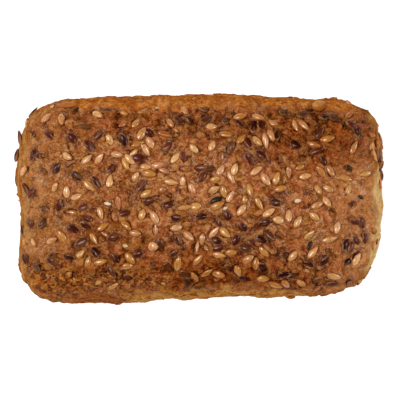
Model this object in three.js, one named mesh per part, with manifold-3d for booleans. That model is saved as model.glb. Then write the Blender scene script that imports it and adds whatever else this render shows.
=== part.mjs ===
// A rectangular protein bread roll: a cut block of dough, proved and baked into a soft-cornered loaf shape,
// with linseeds and a few sunflower kernels baked into the top crust.
// Millimetres, +Z up. X runs along the roll and Y across it. The origin is the middle of the flat underside.
import * as THREE from "three";
import { mergeVertices } from "three/addons/utils/BufferGeometryUtils.js";
import Module from "manifold-3d";

// The block of dough, from its middle to its fullest girth.
const HALF_LENGTH = 61.6;
const HALF_WIDTH_BACK = 35.4;
const HALF_WIDTH_FRONT = 33.4;
const GIRTH_HEIGHT = 17.5;
const CROWN_HEIGHT = 26.5;
const UNDERSIDE_DEPTH = 19.4;

// How square the form is: a power of 2 is an ellipse, and a high one a box with small corners.
const PLAN_POWER_BACK = 9.5;
const PLAN_POWER_FRONT = 6.5;
const CROWN_POWER = 3.3;
const UNDERSIDE_POWER = 6;

// What makes it hand cut: the back edge bows, the front edge tapers, the right end is rounder.
const BACK_BOW = 3.1;
const FRONT_TAPER = 2.2;
const FRONT_FLARE = 1.5;
const RIGHT_END_BOW = 2.2;
const LEFT_END_BOW = 0.8;
const RIGHT_END_PEAK = 6;
const LEFT_END_PEAK = -4;
const END_BOW_SPAN = 24;
const END_BOW_POWER = 4;

// Long, low swellings from an uneven rise: height, then the wavelengths along X and Y. On the walls the
// height above the table counts as a share of Y, so that they swell unevenly too.
const SWELLINGS = [
  { height: 0.55, alongX: 47, alongY: 39, phase: 0.7 },
  { height: 0.4, alongX: 23, alongY: 31, phase: 2.1 },
  { height: 0.28, alongX: 13, alongY: 17, phase: 4.4 },
];
const HEIGHT_IN_SWELLING = 0.6;

// The net of facets on the roll: cells along, across and up.
const CELLS_ALONG = 22;
const CELLS_ACROSS = 13;
const CELLS_UP = 7;
const EDGE_CROWDING = 0.45;
const NORMAL_STEP = 0.002;
const MERGE_DISTANCE = 1e-4;

// The toppings: what one seed measures, and how it lies in the crust.
const LINSEED = { length: 5.0, width: 3.0, thickness: 2.1, tip: 0.22 };
const SUNFLOWER = { length: 8.6, width: 4.2, thickness: 3.0, tip: 0.3 };
const SEED_RINGS = [-0.55, 0.45];
const SEED_SIDES = 4;
const SEED_SIZE_SPREAD = 0.12;
const SEED_TILT = 0.16;
const SUNK_SHARE = 0.12;

// Where the toppings lie: how many, how close, and how much of each part of the crust they cover.
const LINSEED_COUNT = 250;
const SUNFLOWER_COUNT = 6;
const CLOSEST = 3.5;
const SUNFLOWER_CLOSEST = 7;
const SHOULDER_BACK = 30.6;
const SHOULDER_FRONT = 29.4;
const END_START = 50;
const END_SHARE = 0.35;
const END_FACING = 0.3;
const SIDE_SHARE = 0.03;
const LOWEST_SEED = 13;
const LOWEST_FACING = -0.1;
const KERNEL_FACING = 0.9;
const DARTS_AT_TOP = 0.6;
const DARTS_AT_EACH_WALL = 0.1;
const DRAW_SEED = 20260;
const MOST_DARTS = 60000;

const CRUST_COLOUR = 0xa9693a;

// A small generator, so that every build lays the seeds the same way.
function makeDraw(seed) {
  let state = seed;
  return () => {
    state = (Math.imul(state, 1664525) + 1013904223) >>> 0;
    return state / 2 ** 32;
  };
}

// How far the uneven rise lifts the crust at a point.
function swelling(x, y, z) {
  let lift = 0;
  for (const { height, alongX, alongY, phase } of SWELLINGS) {
    const waveX = Math.sin((2 * Math.PI * x) / alongX + phase);
    const waveY = Math.cos((2 * Math.PI * (y + HEIGHT_IN_SWELLING * z)) / alongY - phase);
    lift += height * waveX * waveY;
  }
  return lift;
}

// The roll's surface, seen from its middle through the point (u, v, w) of a box that reaches from -1 to 1.
function crustPoint(u, v, w) {
  const power = w > 0 ? CROWN_POWER : UNDERSIDE_POWER;
  const planPower = v > 0 ? PLAN_POWER_BACK : PLAN_POWER_FRONT;
  const plan = (Math.abs(u) ** planPower + Math.abs(v) ** planPower) ** (power / planPower);
  const reach = (plan + Math.abs(w) ** power) ** (1 / power);
  const along = u / reach;
  const across = v / reach;
  const up = w / reach;

  const backWidth = HALF_WIDTH_BACK - BACK_BOW * along ** 2;
  const frontWidth = HALF_WIDTH_FRONT - FRONT_TAPER * along + FRONT_FLARE * along ** 2;
  const y = across * (across > 0 ? backWidth : frontWidth);
  const endBow = along > 0 ? RIGHT_END_BOW : LEFT_END_BOW;
  const endPeak = along > 0 ? RIGHT_END_PEAK : LEFT_END_PEAK;
  const drawnIn = endBow * ((y - endPeak) / END_BOW_SPAN) ** 2 * along ** END_BOW_POWER;
  const x = HALF_LENGTH * along - Math.sign(along) * drawnIn;
  const z = GIRTH_HEIGHT + up * (up > 0 ? CROWN_HEIGHT : UNDERSIDE_DEPTH);

  const middle = new THREE.Vector3(0, 0, GIRTH_HEIGHT);
  const point = new THREE.Vector3(x, y, z);
  const outward = point.clone().sub(middle).normalize();
  point.addScaledVector(outward, swelling(x, y, z));
  point.z = Math.max(0, point.z);
  return point;
}

// The outward normal there, from two short steps along the surface.
function crustNormal(u, v, w) {
  const here = crustPoint(u, v, w);
  const steps = [
    [NORMAL_STEP, 0, 0],
    [0, NORMAL_STEP, 0],
    [0, 0, NORMAL_STEP],
  ].map(([du, dv, dw]) => crustPoint(u + du, v + dv, w + dw).sub(here));
  // The step that points most nearly at the surface moves least, so the other two span it.
  const sizes = [Math.abs(u), Math.abs(v), Math.abs(w)];
  const facing = sizes.indexOf(Math.max(...sizes));
  const [first, second] = steps.filter((_, axis) => axis !== facing);
  const normal = first.cross(second).normalize();
  const outward = new THREE.Vector3(u, v, w);
  return normal.dot(outward) < 0 ? normal.negate() : normal;
}

// The share of the crust that toppings cover at a point: dense on top, thinner on the ends, stray on the long sides.
function coverAt(point, normal) {
  if (point.z < LOWEST_SEED || normal.z < LOWEST_FACING) return 0;
  if (point.y > SHOULDER_BACK || point.y < -SHOULDER_FRONT) return SIDE_SHARE;
  if (Math.abs(point.x) > END_START) return END_SHARE + (1 - END_SHARE) * Math.max(0, normal.z - END_FACING);
  return 1;
}

// A dart at the box: most at its top, the rest at the upper half of its right, left, back and front walls.
function throwDart(draw) {
  const face = draw();
  const first = 2 * draw() - 1;
  const second = 2 * draw() - 1;
  const upperHalf = (1 + second) / 2;
  if (face < DARTS_AT_TOP) return [first, second, 1];
  const wall = Math.floor((face - DARTS_AT_TOP) / DARTS_AT_EACH_WALL);
  const side = wall % 2 === 0 ? 1 : -1;
  return wall < 2 ? [side, first, upperHalf] : [first, side, upperHalf];
}

// Lays the sunflower kernels and then the linseeds, each clear of the ones before it.
function layToppings() {
  const draw = makeDraw(DRAW_SEED);
  const laid = [];
  for (let dart = 0; dart < MOST_DARTS && laid.length < SUNFLOWER_COUNT + LINSEED_COUNT; dart += 1) {
    const isKernel = laid.length < SUNFLOWER_COUNT;
    const [u, v, w] = throwDart(draw);
    const chance = draw();
    const turn = draw() * 2 * Math.PI;
    const tiltAlong = (2 * draw() - 1) * SEED_TILT;
    const tiltAcross = (2 * draw() - 1) * SEED_TILT;
    const size = 1 + (2 * draw() - 1) * SEED_SIZE_SPREAD;
    const point = crustPoint(u, v, w);
    const normal = crustNormal(u, v, w);
    if (chance > coverAt(point, normal)) continue;
    if (isKernel && normal.z < KERNEL_FACING) continue;
    const room = (other) => (isKernel || other.isKernel ? SUNFLOWER_CLOSEST : CLOSEST);
    if (laid.some((other) => other.point.distanceTo(point) < room(other))) continue;
    laid.push({ isKernel, point, normal, turn, tiltAlong, tiltAcross, size });
  }
  return laid;
}

// A closed mesh as a solid that can be joined.
function toSolid(geometry, wasm) {
  const bare = geometry.clone();
  bare.deleteAttribute("normal");
  bare.deleteAttribute("uv");
  const merged = mergeVertices(bare, MERGE_DISTANCE);
  const vertProperties = new Float32Array(merged.attributes.position.array);
  const triVerts = new Uint32Array(merged.index.array);
  return new wasm.Manifold(new wasm.Mesh({ numProp: 3, vertProperties, triVerts }));
}

// The dough block: a box net whose cells crowd towards the edges, drawn onto the crust.
function rollGeometry() {
  const geometry = new THREE.BoxGeometry(2, 2, 2, CELLS_ALONG, CELLS_ACROSS, CELLS_UP);
  const position = geometry.attributes.position;
  const crowd = (value) => (1 - EDGE_CROWDING) * value + EDGE_CROWDING * Math.sin((Math.PI / 2) * value);
  for (let i = 0; i < position.count; i += 1) {
    const corner = [position.getX(i), position.getY(i), position.getZ(i)].map(crowd);
    position.setXYZ(i, ...crustPoint(...corner).toArray());
  }
  return geometry;
}

// One seed lying along X: blunt at one end and drawn to a point at the other.
function seedGeometry({ length, width, thickness, tip }) {
  const ringRadius = (t) => Math.sqrt(1 - t * t) * (1 - tip * t);
  const rings = SEED_RINGS.map((t) => new THREE.Vector2(ringRadius(t), t));
  const profile = [new THREE.Vector2(0, -1), ...rings, new THREE.Vector2(0, 1)];
  const geometry = new THREE.LatheGeometry(profile, SEED_SIDES);
  geometry.rotateZ(-Math.PI / 2);
  geometry.scale(length / 2, width / 2, thickness / 2);
  return geometry;
}

// Turns a seed to its place: flat on the crust, tilted a little, and sunk a little.
function placeSeed(geometry, { point, normal, turn, tiltAlong, tiltAcross, size }, thickness) {
  const upright = new THREE.Quaternion().setFromUnitVectors(new THREE.Vector3(0, 0, 1), normal);
  const pose = new THREE.Euler(tiltAcross, tiltAlong, turn, "ZYX");
  const rotation = upright.multiply(new THREE.Quaternion().setFromEuler(pose));
  const place = point.clone().addScaledVector(normal, -SUNK_SHARE * thickness);
  const matrix = new THREE.Matrix4().compose(place, rotation, new THREE.Vector3(size, size, size));
  return geometry.clone().applyMatrix4(matrix);
}

// A solid back as a geometry with flat facets.
function fromSolid(solid) {
  const mesh = solid.getMesh();
  const geometry = new THREE.BufferGeometry();
  geometry.setAttribute("position", new THREE.BufferAttribute(new Float32Array(mesh.vertProperties), 3));
  geometry.setIndex(new THREE.BufferAttribute(new Uint32Array(mesh.triVerts), 1));
  const faceted = geometry.toNonIndexed();
  faceted.computeVertexNormals();
  return faceted;
}

// The whole roll, with every topping fused into its crust.
function seededRoll(wasm) {
  const linseed = seedGeometry(LINSEED);
  const kernel = seedGeometry(SUNFLOWER);
  let solid = toSolid(rollGeometry(), wasm);
  for (const seed of layToppings()) {
    const shape = seed.isKernel ? kernel : linseed;
    const thickness = seed.isKernel ? SUNFLOWER.thickness : LINSEED.thickness;
    solid = solid.add(toSolid(placeSeed(shape, seed, thickness), wasm));
  }
  const crust = new THREE.MeshStandardMaterial({ color: CRUST_COLOUR, roughness: 0.7, metalness: 0 });
  const mesh = new THREE.Mesh(fromSolid(solid), crust);
  mesh.name = "seeded_roll";
  return mesh;
}

const wasm = await Module();
wasm.setup();

const roll = new THREE.Group();
roll.add(seededRoll(wasm));

export default roll;
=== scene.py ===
"""The looks of a seeded protein bread roll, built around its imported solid.

Metres, +Z up. X runs along the roll and Y across it, and the origin is the middle of the flat underside.
The crust is one closed mesh on the solid's own form. Each kind of topping that is baked into it is one more
mesh. The toppings that show most clearly lie where the photograph shows them, and the solid's own seeds and
some smaller ones fill the rest. Sizes in the classes are millimetres.
"""

import logging
import math
from dataclasses import dataclass, field
from enum import Enum
from typing import Any, Callable

import bmesh
import bpy
import numpy as np
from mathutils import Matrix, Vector, noise
from mathutils.bvhtree import BVHTree
from mathutils.kdtree import KDTree


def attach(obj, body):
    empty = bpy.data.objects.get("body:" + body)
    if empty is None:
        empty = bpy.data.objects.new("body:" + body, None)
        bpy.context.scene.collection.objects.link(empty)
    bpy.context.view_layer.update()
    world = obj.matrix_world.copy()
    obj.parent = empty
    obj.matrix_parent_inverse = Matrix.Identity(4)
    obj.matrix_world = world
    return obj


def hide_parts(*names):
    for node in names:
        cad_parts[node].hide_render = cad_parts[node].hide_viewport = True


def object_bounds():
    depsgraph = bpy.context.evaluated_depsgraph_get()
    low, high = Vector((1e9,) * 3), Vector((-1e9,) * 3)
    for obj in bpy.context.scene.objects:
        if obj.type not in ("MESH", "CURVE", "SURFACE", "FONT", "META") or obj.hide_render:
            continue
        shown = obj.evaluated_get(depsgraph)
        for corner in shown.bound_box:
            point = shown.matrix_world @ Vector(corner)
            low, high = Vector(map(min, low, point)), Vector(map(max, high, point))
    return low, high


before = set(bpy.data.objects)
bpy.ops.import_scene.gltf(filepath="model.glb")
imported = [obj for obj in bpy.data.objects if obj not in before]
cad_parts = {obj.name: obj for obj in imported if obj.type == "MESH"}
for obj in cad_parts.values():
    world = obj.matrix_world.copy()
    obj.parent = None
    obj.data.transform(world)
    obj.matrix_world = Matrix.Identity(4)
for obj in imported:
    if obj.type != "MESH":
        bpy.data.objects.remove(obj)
CAD_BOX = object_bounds()

LOG = logging.getLogger("bread_roll")
NODE = "seeded_roll"
BODY = "root"
MM = 0.001
RANDOM_SEED = 7

Array = np.ndarray
Colour = tuple[float, float, float, float]
Span = tuple[float, float]


def paint(red: int, green: int, blue: int) -> Colour:
    """Turns a colour as a screen shows it, from 0 to 255, into the linear one that a shader takes.

    Args:
        red: The screen's red.
        green: The screen's green.
        blue: The screen's blue.

    Returns:
        The linear colour, with alpha 1.
    """
    shares = [channel / 255 for channel in (red, green, blue)]
    # The screen's own curve: straight near black, and a power above it
    linear = [s / 12.92 if s <= 0.04045 else ((s + 0.055) / 1.055) ** 2.4 for s in shares]
    return (linear[0], linear[1], linear[2], 1.0)


def ramp(span: Span, values: Array | float) -> Array:
    """Rises smoothly from 0 at the start of the span to 1 at its end, whichever of them is the larger."""
    share = np.clip((values - span[0]) / (span[1] - span[0]), 0, 1)
    return share * share * (3 - 2 * share)


def patches(points: Array, width: float, shift: float) -> Array:
    """Soft noise from about -1 to 1 in patches that many millimetres wide, taken that far off its place."""
    return np.array([2 * noise.noise(Vector(point)) for point in points / width + shift])


# The form that the crust shares with the solid


@dataclass(frozen=True)
class RollForm:
    """The block of dough: a box that is drawn onto soft corners, bowed sides and an uneven rise."""

    half_length: float = 61.6
    half_width_back: float = 35.4
    half_width_front: float = 33.4
    girth_height: float = 17.5
    crown_height: float = 26.5
    underside_depth: float = 19.4
    plan_power_back: float = 9.5
    plan_power_front: float = 6.5
    crown_power: float = 3.3
    underside_power: float = 6.0
    back_bow: float = 3.1
    front_taper: float = 2.2
    front_flare: float = 1.5
    right_end_bow: float = 2.2
    left_end_bow: float = 0.8
    right_end_peak: float = 6.0
    left_end_peak: float = -4.0
    end_bow_span: float = 24.0
    end_bow_power: float = 4.0
    height_in_swelling: float = 0.6
    normal_step: float = 0.002
    swellings: tuple[tuple[float, float, float, float], ...] = (
        (0.55, 47.0, 39.0, 0.7),
        (0.40, 23.0, 31.0, 2.1),
        (0.28, 13.0, 17.0, 4.4),
    )

    def swelling(self, point: Array) -> Array:
        """How far the uneven rise lifts the crust.

        Args:
            point: One row of three for each point, in millimetres.

        Returns:
            One height for each point.
        """
        x, y, z = point.T
        lift = np.zeros(len(point))
        for height, along_x, along_y, phase in self.swellings:
            wave_x = np.sin(2 * np.pi * x / along_x + phase)
            wave_y = np.cos(2 * np.pi * (y + self.height_in_swelling * z) / along_y - phase)
            lift += height * wave_x * wave_y
        return lift

    def points(self, box: Array) -> Array:
        """Draws points of a box that reaches from -1 to 1 onto the crust.

        Args:
            box: One row of three for each point of the box's surface.

        Returns:
            The crust's points, in millimetres.
        """
        u, v, w = box.T
        power = np.where(w > 0, self.crown_power, self.underside_power)
        plan_power = np.where(v > 0, self.plan_power_back, self.plan_power_front)
        plan = (np.abs(u) ** plan_power + np.abs(v) ** plan_power) ** (power / plan_power)
        reach = (plan + np.abs(w) ** power) ** (1 / power)
        along, across, up = u / reach, v / reach, w / reach

        back_width = self.half_width_back - self.back_bow * along**2
        front_width = self.half_width_front - self.front_taper * along + self.front_flare * along**2
        y = across * np.where(across > 0, back_width, front_width)
        end_bow = np.where(along > 0, self.right_end_bow, self.left_end_bow)
        end_peak = np.where(along > 0, self.right_end_peak, self.left_end_peak)
        drawn_in = end_bow * ((y - end_peak) / self.end_bow_span) ** 2 * along**self.end_bow_power
        x = self.half_length * along - np.sign(along) * drawn_in
        z = self.girth_height + up * np.where(up > 0, self.crown_height, self.underside_depth)

        point = np.stack([x, y, z], axis=1)
        outward = point - np.array([0, 0, self.girth_height])
        outward /= np.linalg.norm(outward, axis=1, keepdims=True)
        point = point + outward * self.swelling(point)[:, None]
        point[:, 2] = np.maximum(point[:, 2], 0)
        return point

    def normals(self, box: Array) -> Array:
        """The outward normals at the same points, from two short steps along the surface.

        Args:
            box: One row of three for each point of the box's surface.

        Returns:
            Unit vectors, one row for each point.
        """
        here = self.points(box)
        steps = [self.points(box + self.normal_step * axis) - here for axis in np.eye(3)]
        facing = np.argmax(np.abs(box), axis=1)
        rows = np.arange(len(box))
        spans = np.stack(steps, axis=1)
        first = spans[rows, np.where(facing == 0, 1, 0)]
        second = spans[rows, np.where(facing == 2, 1, 2)]
        normal = np.cross(first, second)
        normal /= np.linalg.norm(normal, axis=1, keepdims=True) + 1e-12
        inward = np.sum(normal * box, axis=1) < 0
        normal[inward] *= -1
        return normal


# The toppings, and the rule that lays them


class Kind(Enum):
    """What one topping is."""

    LINSEED = "linseed"
    GOLDEN = "golden_linseeds"
    BROWN = "brown_linseeds"
    KERNEL = "sunflower_kernels"
    CHIP = "pale_chips"
    HUSK = "dark_husks"
    GRAIN = "amber_grain"
    CRUMB = "crust_crumbs"


# Past this cover of dough a topping shows only as a hump
WHOLLY_COVERED = 0.85


@dataclass
class Topping:
    """One topping in its place: where it lies, how it is turned and how large it is."""

    kind: Kind
    point: Array
    normal: Array
    turn: float
    tilt_along: float
    tilt_across: float
    size: float
    sunk: float = 0.0
    tint: float = 0.5
    covered: float = 0.0
    covered_from: float = 0.0
    least_covered: float = 0.0
    stretch: tuple[float, float, float] = (1.0, 1.0, 1.0)
    landmark: bool = False
    seen: bool = False
    hump: float = 1.0

    def hidden(self) -> bool:
        """Whether dough covers the topping wholly, so that only a hump shows."""
        return self.covered > WHOLLY_COVERED

    def axes(self) -> Array:
        """The topping's own directions.

        Returns:
            Its X, Y and Z directions, as the columns of a matrix.
        """
        upright = Vector((0, 0, 1)).rotation_difference(Vector(self.normal))
        cos_turn, sin_turn = math.cos(self.turn), math.sin(self.turn)
        cos_along, sin_along = math.cos(self.tilt_along), math.sin(self.tilt_along)
        cos_across, sin_across = math.cos(self.tilt_across), math.sin(self.tilt_across)
        about_z = np.array([[cos_turn, -sin_turn, 0], [sin_turn, cos_turn, 0], [0, 0, 1]])
        about_y = np.array([[cos_along, 0, sin_along], [0, 1, 0], [-sin_along, 0, cos_along]])
        about_x = np.array([[1, 0, 0], [0, cos_across, -sin_across], [0, sin_across, cos_across]])
        return np.array(upright.to_matrix()) @ about_z @ about_y @ about_x


@dataclass
class Draw:
    """A small generator that draws the same numbers as the solid's own."""

    state: int
    multiplier: int = 1664525
    increment: int = 1013904223
    modulus: int = 2**32

    def take(self, count: int) -> Array:
        """Draws numbers from 0 to 1.

        Args:
            count: How many.

        Returns:
            The numbers, in the order in which they are drawn.
        """
        drawn = np.empty(count)
        for place in range(count):
            self.state = (self.state * self.multiplier + self.increment) % self.modulus
            drawn[place] = self.state / self.modulus
        return drawn


# A dart has eight draws, and these are the columns that decide its face, place, cover, turn, tilts and size
DRAWS_FOR_EACH_DART = 8
FACE, FIRST, SECOND, COVER, TURN, TILTS, TURNS, SIZE = 0, 1, 2, 3, 4, slice(5, 7), slice(4, 7), 7


@dataclass
class ToppingRule:
    """Where toppings lie: thickly on top, thinner on the ends and stray on the long sides."""

    form: RollForm
    seed: int = 20260
    kernels: int = 6
    linseeds: int = 250
    closest: float = 3.5
    kernel_closest: float = 7.0
    seed_tilt: float = 0.16
    size_spread: float = 0.12
    shoulder_back: float = 30.6
    shoulder_front: float = 29.4
    end_start: float = 50.0
    end_share: float = 0.35
    end_facing: float = 0.3
    side_share: float = 0.03
    lowest_seed: float = 13.0
    lowest_facing: float = -0.1
    kernel_facing: float = 0.9
    darts_at_top: float = 0.6
    darts_at_each_wall: float = 0.1
    darts_at_once: int = 3000
    most_darts: int = 60000
    laid: list[Topping] = field(default_factory=list)

    def cover(self, point: Array, normal: Array) -> Array:
        """The share of the crust that toppings cover.

        Args:
            point: One row of three for each point, in millimetres.
            normal: The outward normals there.

        Returns:
            A share from 0 to 1 for each point.
        """
        x, y, z = point.T
        up = normal[:, 2]
        on_end = self.end_share + (1 - self.end_share) * np.maximum(0, up - self.end_facing)
        share = np.where(np.abs(x) > self.end_start, on_end, 1.0)
        share = np.where((y > self.shoulder_back) | (y < -self.shoulder_front), self.side_share, share)
        return np.where((z < self.lowest_seed) | (up < self.lowest_facing), 0.0, share)

    def aim(self, draws: Array) -> Array:
        """Aims darts at the box: most at its top, the rest at the upper half of its walls.

        Args:
            draws: Three numbers from 0 to 1 for each dart.

        Returns:
            A point of the box for each dart.
        """
        face = draws[:, FACE]
        first = 2 * draws[:, FIRST] - 1
        second = 2 * draws[:, SECOND] - 1
        upper = (1 + second) / 2
        wall = np.floor((face - self.darts_at_top) / self.darts_at_each_wall)
        side = np.where(wall % 2 == 0, 1.0, -1.0)
        on_top = np.stack([first, second, np.ones(len(draws))], axis=1)
        on_end = np.stack([side, first, upper], axis=1)
        on_side = np.stack([first, side, upper], axis=1)
        on_wall = np.where((wall < 2)[:, None], on_end, on_side)
        return np.where((face < self.darts_at_top)[:, None], on_top, on_wall)

    def throw(self, draws: Array) -> tuple[Array, Array, Array]:
        """Throws darts at the crust.

        Args:
            draws: The draws of each dart.

        Returns:
            Where each dart strikes, the outward normal there, and the share that toppings cover there.
        """
        box = self.aim(draws)
        points = self.form.points(box)
        normals = self.form.normals(box)
        return points, normals, self.cover(points, normals)

    def lay(self) -> list[Topping]:
        """Lays the kernels and then the linseeds, each clear of the ones before it.

        Returns:
            The toppings that the solid has too.
        """
        draw = Draw(self.seed)
        wanted = self.kernels + self.linseeds
        for _ in range(0, self.most_darts, self.darts_at_once):
            draws = draw.take(self.darts_at_once * DRAWS_FOR_EACH_DART).reshape(self.darts_at_once, -1)
            points, normals, cover = self.throw(draws)
            for place in np.flatnonzero(draws[:, COVER] <= cover):
                if len(self.laid) == wanted:
                    return self.laid
                self.try_dart(points[place], normals[place], draws[place])
        return self.laid

    def try_dart(self, point: Array, normal: Array, draws: Array) -> None:
        """Lays one topping where a dart has struck, if there is room for it.

        Args:
            point: Where it struck, in millimetres.
            normal: The outward normal there.
            draws: The dart's own draws.
        """
        kernel = len(self.laid) < self.kernels
        if kernel and normal[2] < self.kernel_facing:
            return
        for other in self.laid:
            room = self.kernel_closest if kernel or other.kind is Kind.KERNEL else self.closest
            if np.linalg.norm(other.point - point) < room:
                return
        turn = draws[TURN] * 2 * math.pi
        tilt_along, tilt_across = ((2 * d - 1) * self.seed_tilt for d in draws[TILTS])
        size = 1 + (2 * draws[SIZE] - 1) * self.size_spread
        kind = Kind.KERNEL if kernel else Kind.LINSEED
        self.laid.append(Topping(kind, point, normal, turn, tilt_along, tilt_across, size))


@dataclass(frozen=True)
class Patch:
    """A soft-edged stretch of the crust, seen from above, where something is stronger or weaker."""

    middle: tuple[float, float]
    reach: tuple[float, float]
    share: float


def share_at(points: Array, base: float | Array, marked: tuple[Patch, ...]) -> Array:
    """Works out how strong something is, from what it is elsewhere and its patches.

    Args:
        points: One row of three for each point, in millimetres.
        base: How strong it is outside the patches, in one value or one for each point.
        marked: The patches.

    Returns:
        One value for each point.
    """
    share = np.full(len(points), base)
    for patch in marked:
        away = (points[:, :2] - patch.middle) / patch.reach
        share += (patch.share - share) * np.exp(-np.sum(away**2, axis=1))
    return share


BROWN_PATCHES = (
    Patch((-1.0, 24.0), reach=(9.0, 7.0), share=0.8),
    Patch((30.0, 26.0), reach=(14.0, 8.0), share=0.7),
    Patch((52.0, -14.0), reach=(8.0, 12.0), share=0.85),
    Patch((8.0, -24.0), reach=(16.0, 8.0), share=0.65),
    Patch((32.0, -14.0), reach=(9.0, 7.0), share=0.6),
    Patch((-38.0, -12.0), reach=(14.0, 8.0), share=0.7),
    Patch((-50.0, 14.0), reach=(12.0, 10.0), share=0.8),
    Patch((22.0, 2.0), reach=(12.0, 8.0), share=0.08),
    Patch((-12.0, 12.0), reach=(10.0, 6.0), share=0.15),
    Patch((-30.0, -20.0), reach=(8.0, 4.0), share=0.1),
)
BURIED_PATCHES = (
    Patch((-50.0, -29.0), reach=(18.0, 7.0), share=0.9),
    Patch((61.0, -2.0), reach=(5.0, 10.0), share=0.8),
    Patch((48.0, -27.0), reach=(10.0, 5.0), share=0.6),
    Patch((-60.0, -12.0), reach=(5.0, 14.0), share=0.6),
)
# Patches where crust and seeds are multiplied darker: partly a darker bake, as in the upper right, and partly
# painted shade along the front and back shoulders, where the top turns from the light
DARKER_BAKE_AND_SHADE_PATCHES = (
    Patch((5.0, 26.0), reach=(60.0, 8.0), share=0.75),
    Patch((40.0, 20.0), reach=(20.0, 12.0), share=1.0),
    Patch((0.0, -25.0), reach=(48.0, 10.0), share=1.0),
    Patch((-30.0, -12.0), reach=(12.0, 6.0), share=0.7),
    Patch((-24.0, 1.0), reach=(10.0, 5.0), share=0.5),
    Patch((0.0, 8.0), reach=(12.0, 6.0), share=-0.1),
    Patch((48.0, -2.0), reach=(14.0, 9.0), share=-0.3),
    Patch((58.0, -18.0), reach=(10.0, 16.0), share=-0.1),
    Patch((-46.0, -27.0), reach=(14.0, 7.0), share=0.95),
)
JUMBLED_PATCHES = (
    Patch((-12.0, 6.0), reach=(20.0, 10.0), share=0.8),
    Patch((-45.0, -27.0), reach=(18.0, 7.0), share=1.0),
    Patch((-8.0, 24.0), reach=(14.0, 5.0), share=0.7),
    Patch((30.0, 4.0), reach=(22.0, 12.0), share=0.0),
    Patch((52.0, -8.0), reach=(16.0, 22.0), share=0.0),
    Patch((-50.0, 2.0), reach=(12.0, 18.0), share=0.1),
)
FOLDED_PATCHES = (
    Patch((-46.0, -27.0), reach=(16.0, 6.0), share=1.0),
    Patch((-20.0, -27.0), reach=(14.0, 5.0), share=0.7),
    Patch((-14.0, 8.0), reach=(16.0, 10.0), share=0.5),
    Patch((-60.0, -8.0), reach=(5.0, 24.0), share=0.7),
    Patch((24.0, 24.0), reach=(12.0, 5.0), share=0.6),
)


JUMBLE_SPAN: Span = (0.2, 0.8)


def jumble_at(points: Array) -> Array:
    """How torn and lumpy the crust is at each point, from 0 to 1."""
    elsewhere = ramp(JUMBLE_SPAN, patches(points, width=7.0, shift=3.7))
    return share_at(points, elsewhere, JUMBLED_PATCHES)


@dataclass(frozen=True)
class Eye:
    """Where the camera stands: straight above the roll, so that its girth has the photograph's scale."""

    image_width: float = 400.0
    mm_for_each_pixel: float = 0.34
    roll_middle_x: float = 200.5
    roll_middle_y: float = 199.5
    height: float = 900.0
    girth_height: float = RollForm.girth_height

    def place(self) -> Array:
        """The camera's place.

        Returns:
            The place, in millimetres.
        """
        middle = self.image_width / 2
        x = (middle - self.roll_middle_x) * self.mm_for_each_pixel
        y = (self.roll_middle_y - middle) * self.mm_for_each_pixel
        return np.array([x, y, self.height])

    def seen(self, x: float, y: float, height: float) -> Array:
        """The place at some height that the camera sees where it sees x and y of the girth."""
        share = (self.height - height) / (self.height - self.girth_height)
        return self.place() + (np.array([x, y, self.girth_height]) - self.place()) * share


EYE = Eye()


@dataclass(frozen=True)
class Landmark:
    """One topping that stands out in the photograph, with its own place, size and colour.

    One with a height lies nearest to that place. One without lies where the camera sees x and y.
    """

    kind: Kind
    x: float
    y: float
    turn: float
    z: float | None = None
    stretch: tuple[float, float, float] = (1.0, 1.0, 1.0)
    tint: float = 0.5
    covered: float = 0.0
    sunk: float = 0.1
    tilt: float = 0.0
    crown: float = 42.0

    def topping(self) -> Topping:
        """Makes the topping, which is then moved onto the crust.

        Returns:
            The topping, over its place on the roll.
        """
        seen = self.z is None
        point = EYE.seen(self.x, self.y, self.crown) if seen else np.array([self.x, self.y, self.z])
        return Topping(
            kind=self.kind,
            point=point,
            normal=np.array([0.0, 0.0, 1.0]),
            turn=math.radians(self.turn),
            tilt_along=0.0,
            tilt_across=math.radians(self.tilt),
            size=1.0,
            sunk=self.sunk,
            tint=self.tint,
            covered=self.covered,
            stretch=self.stretch,
            landmark=True,
            seen=seen,
        )


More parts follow.
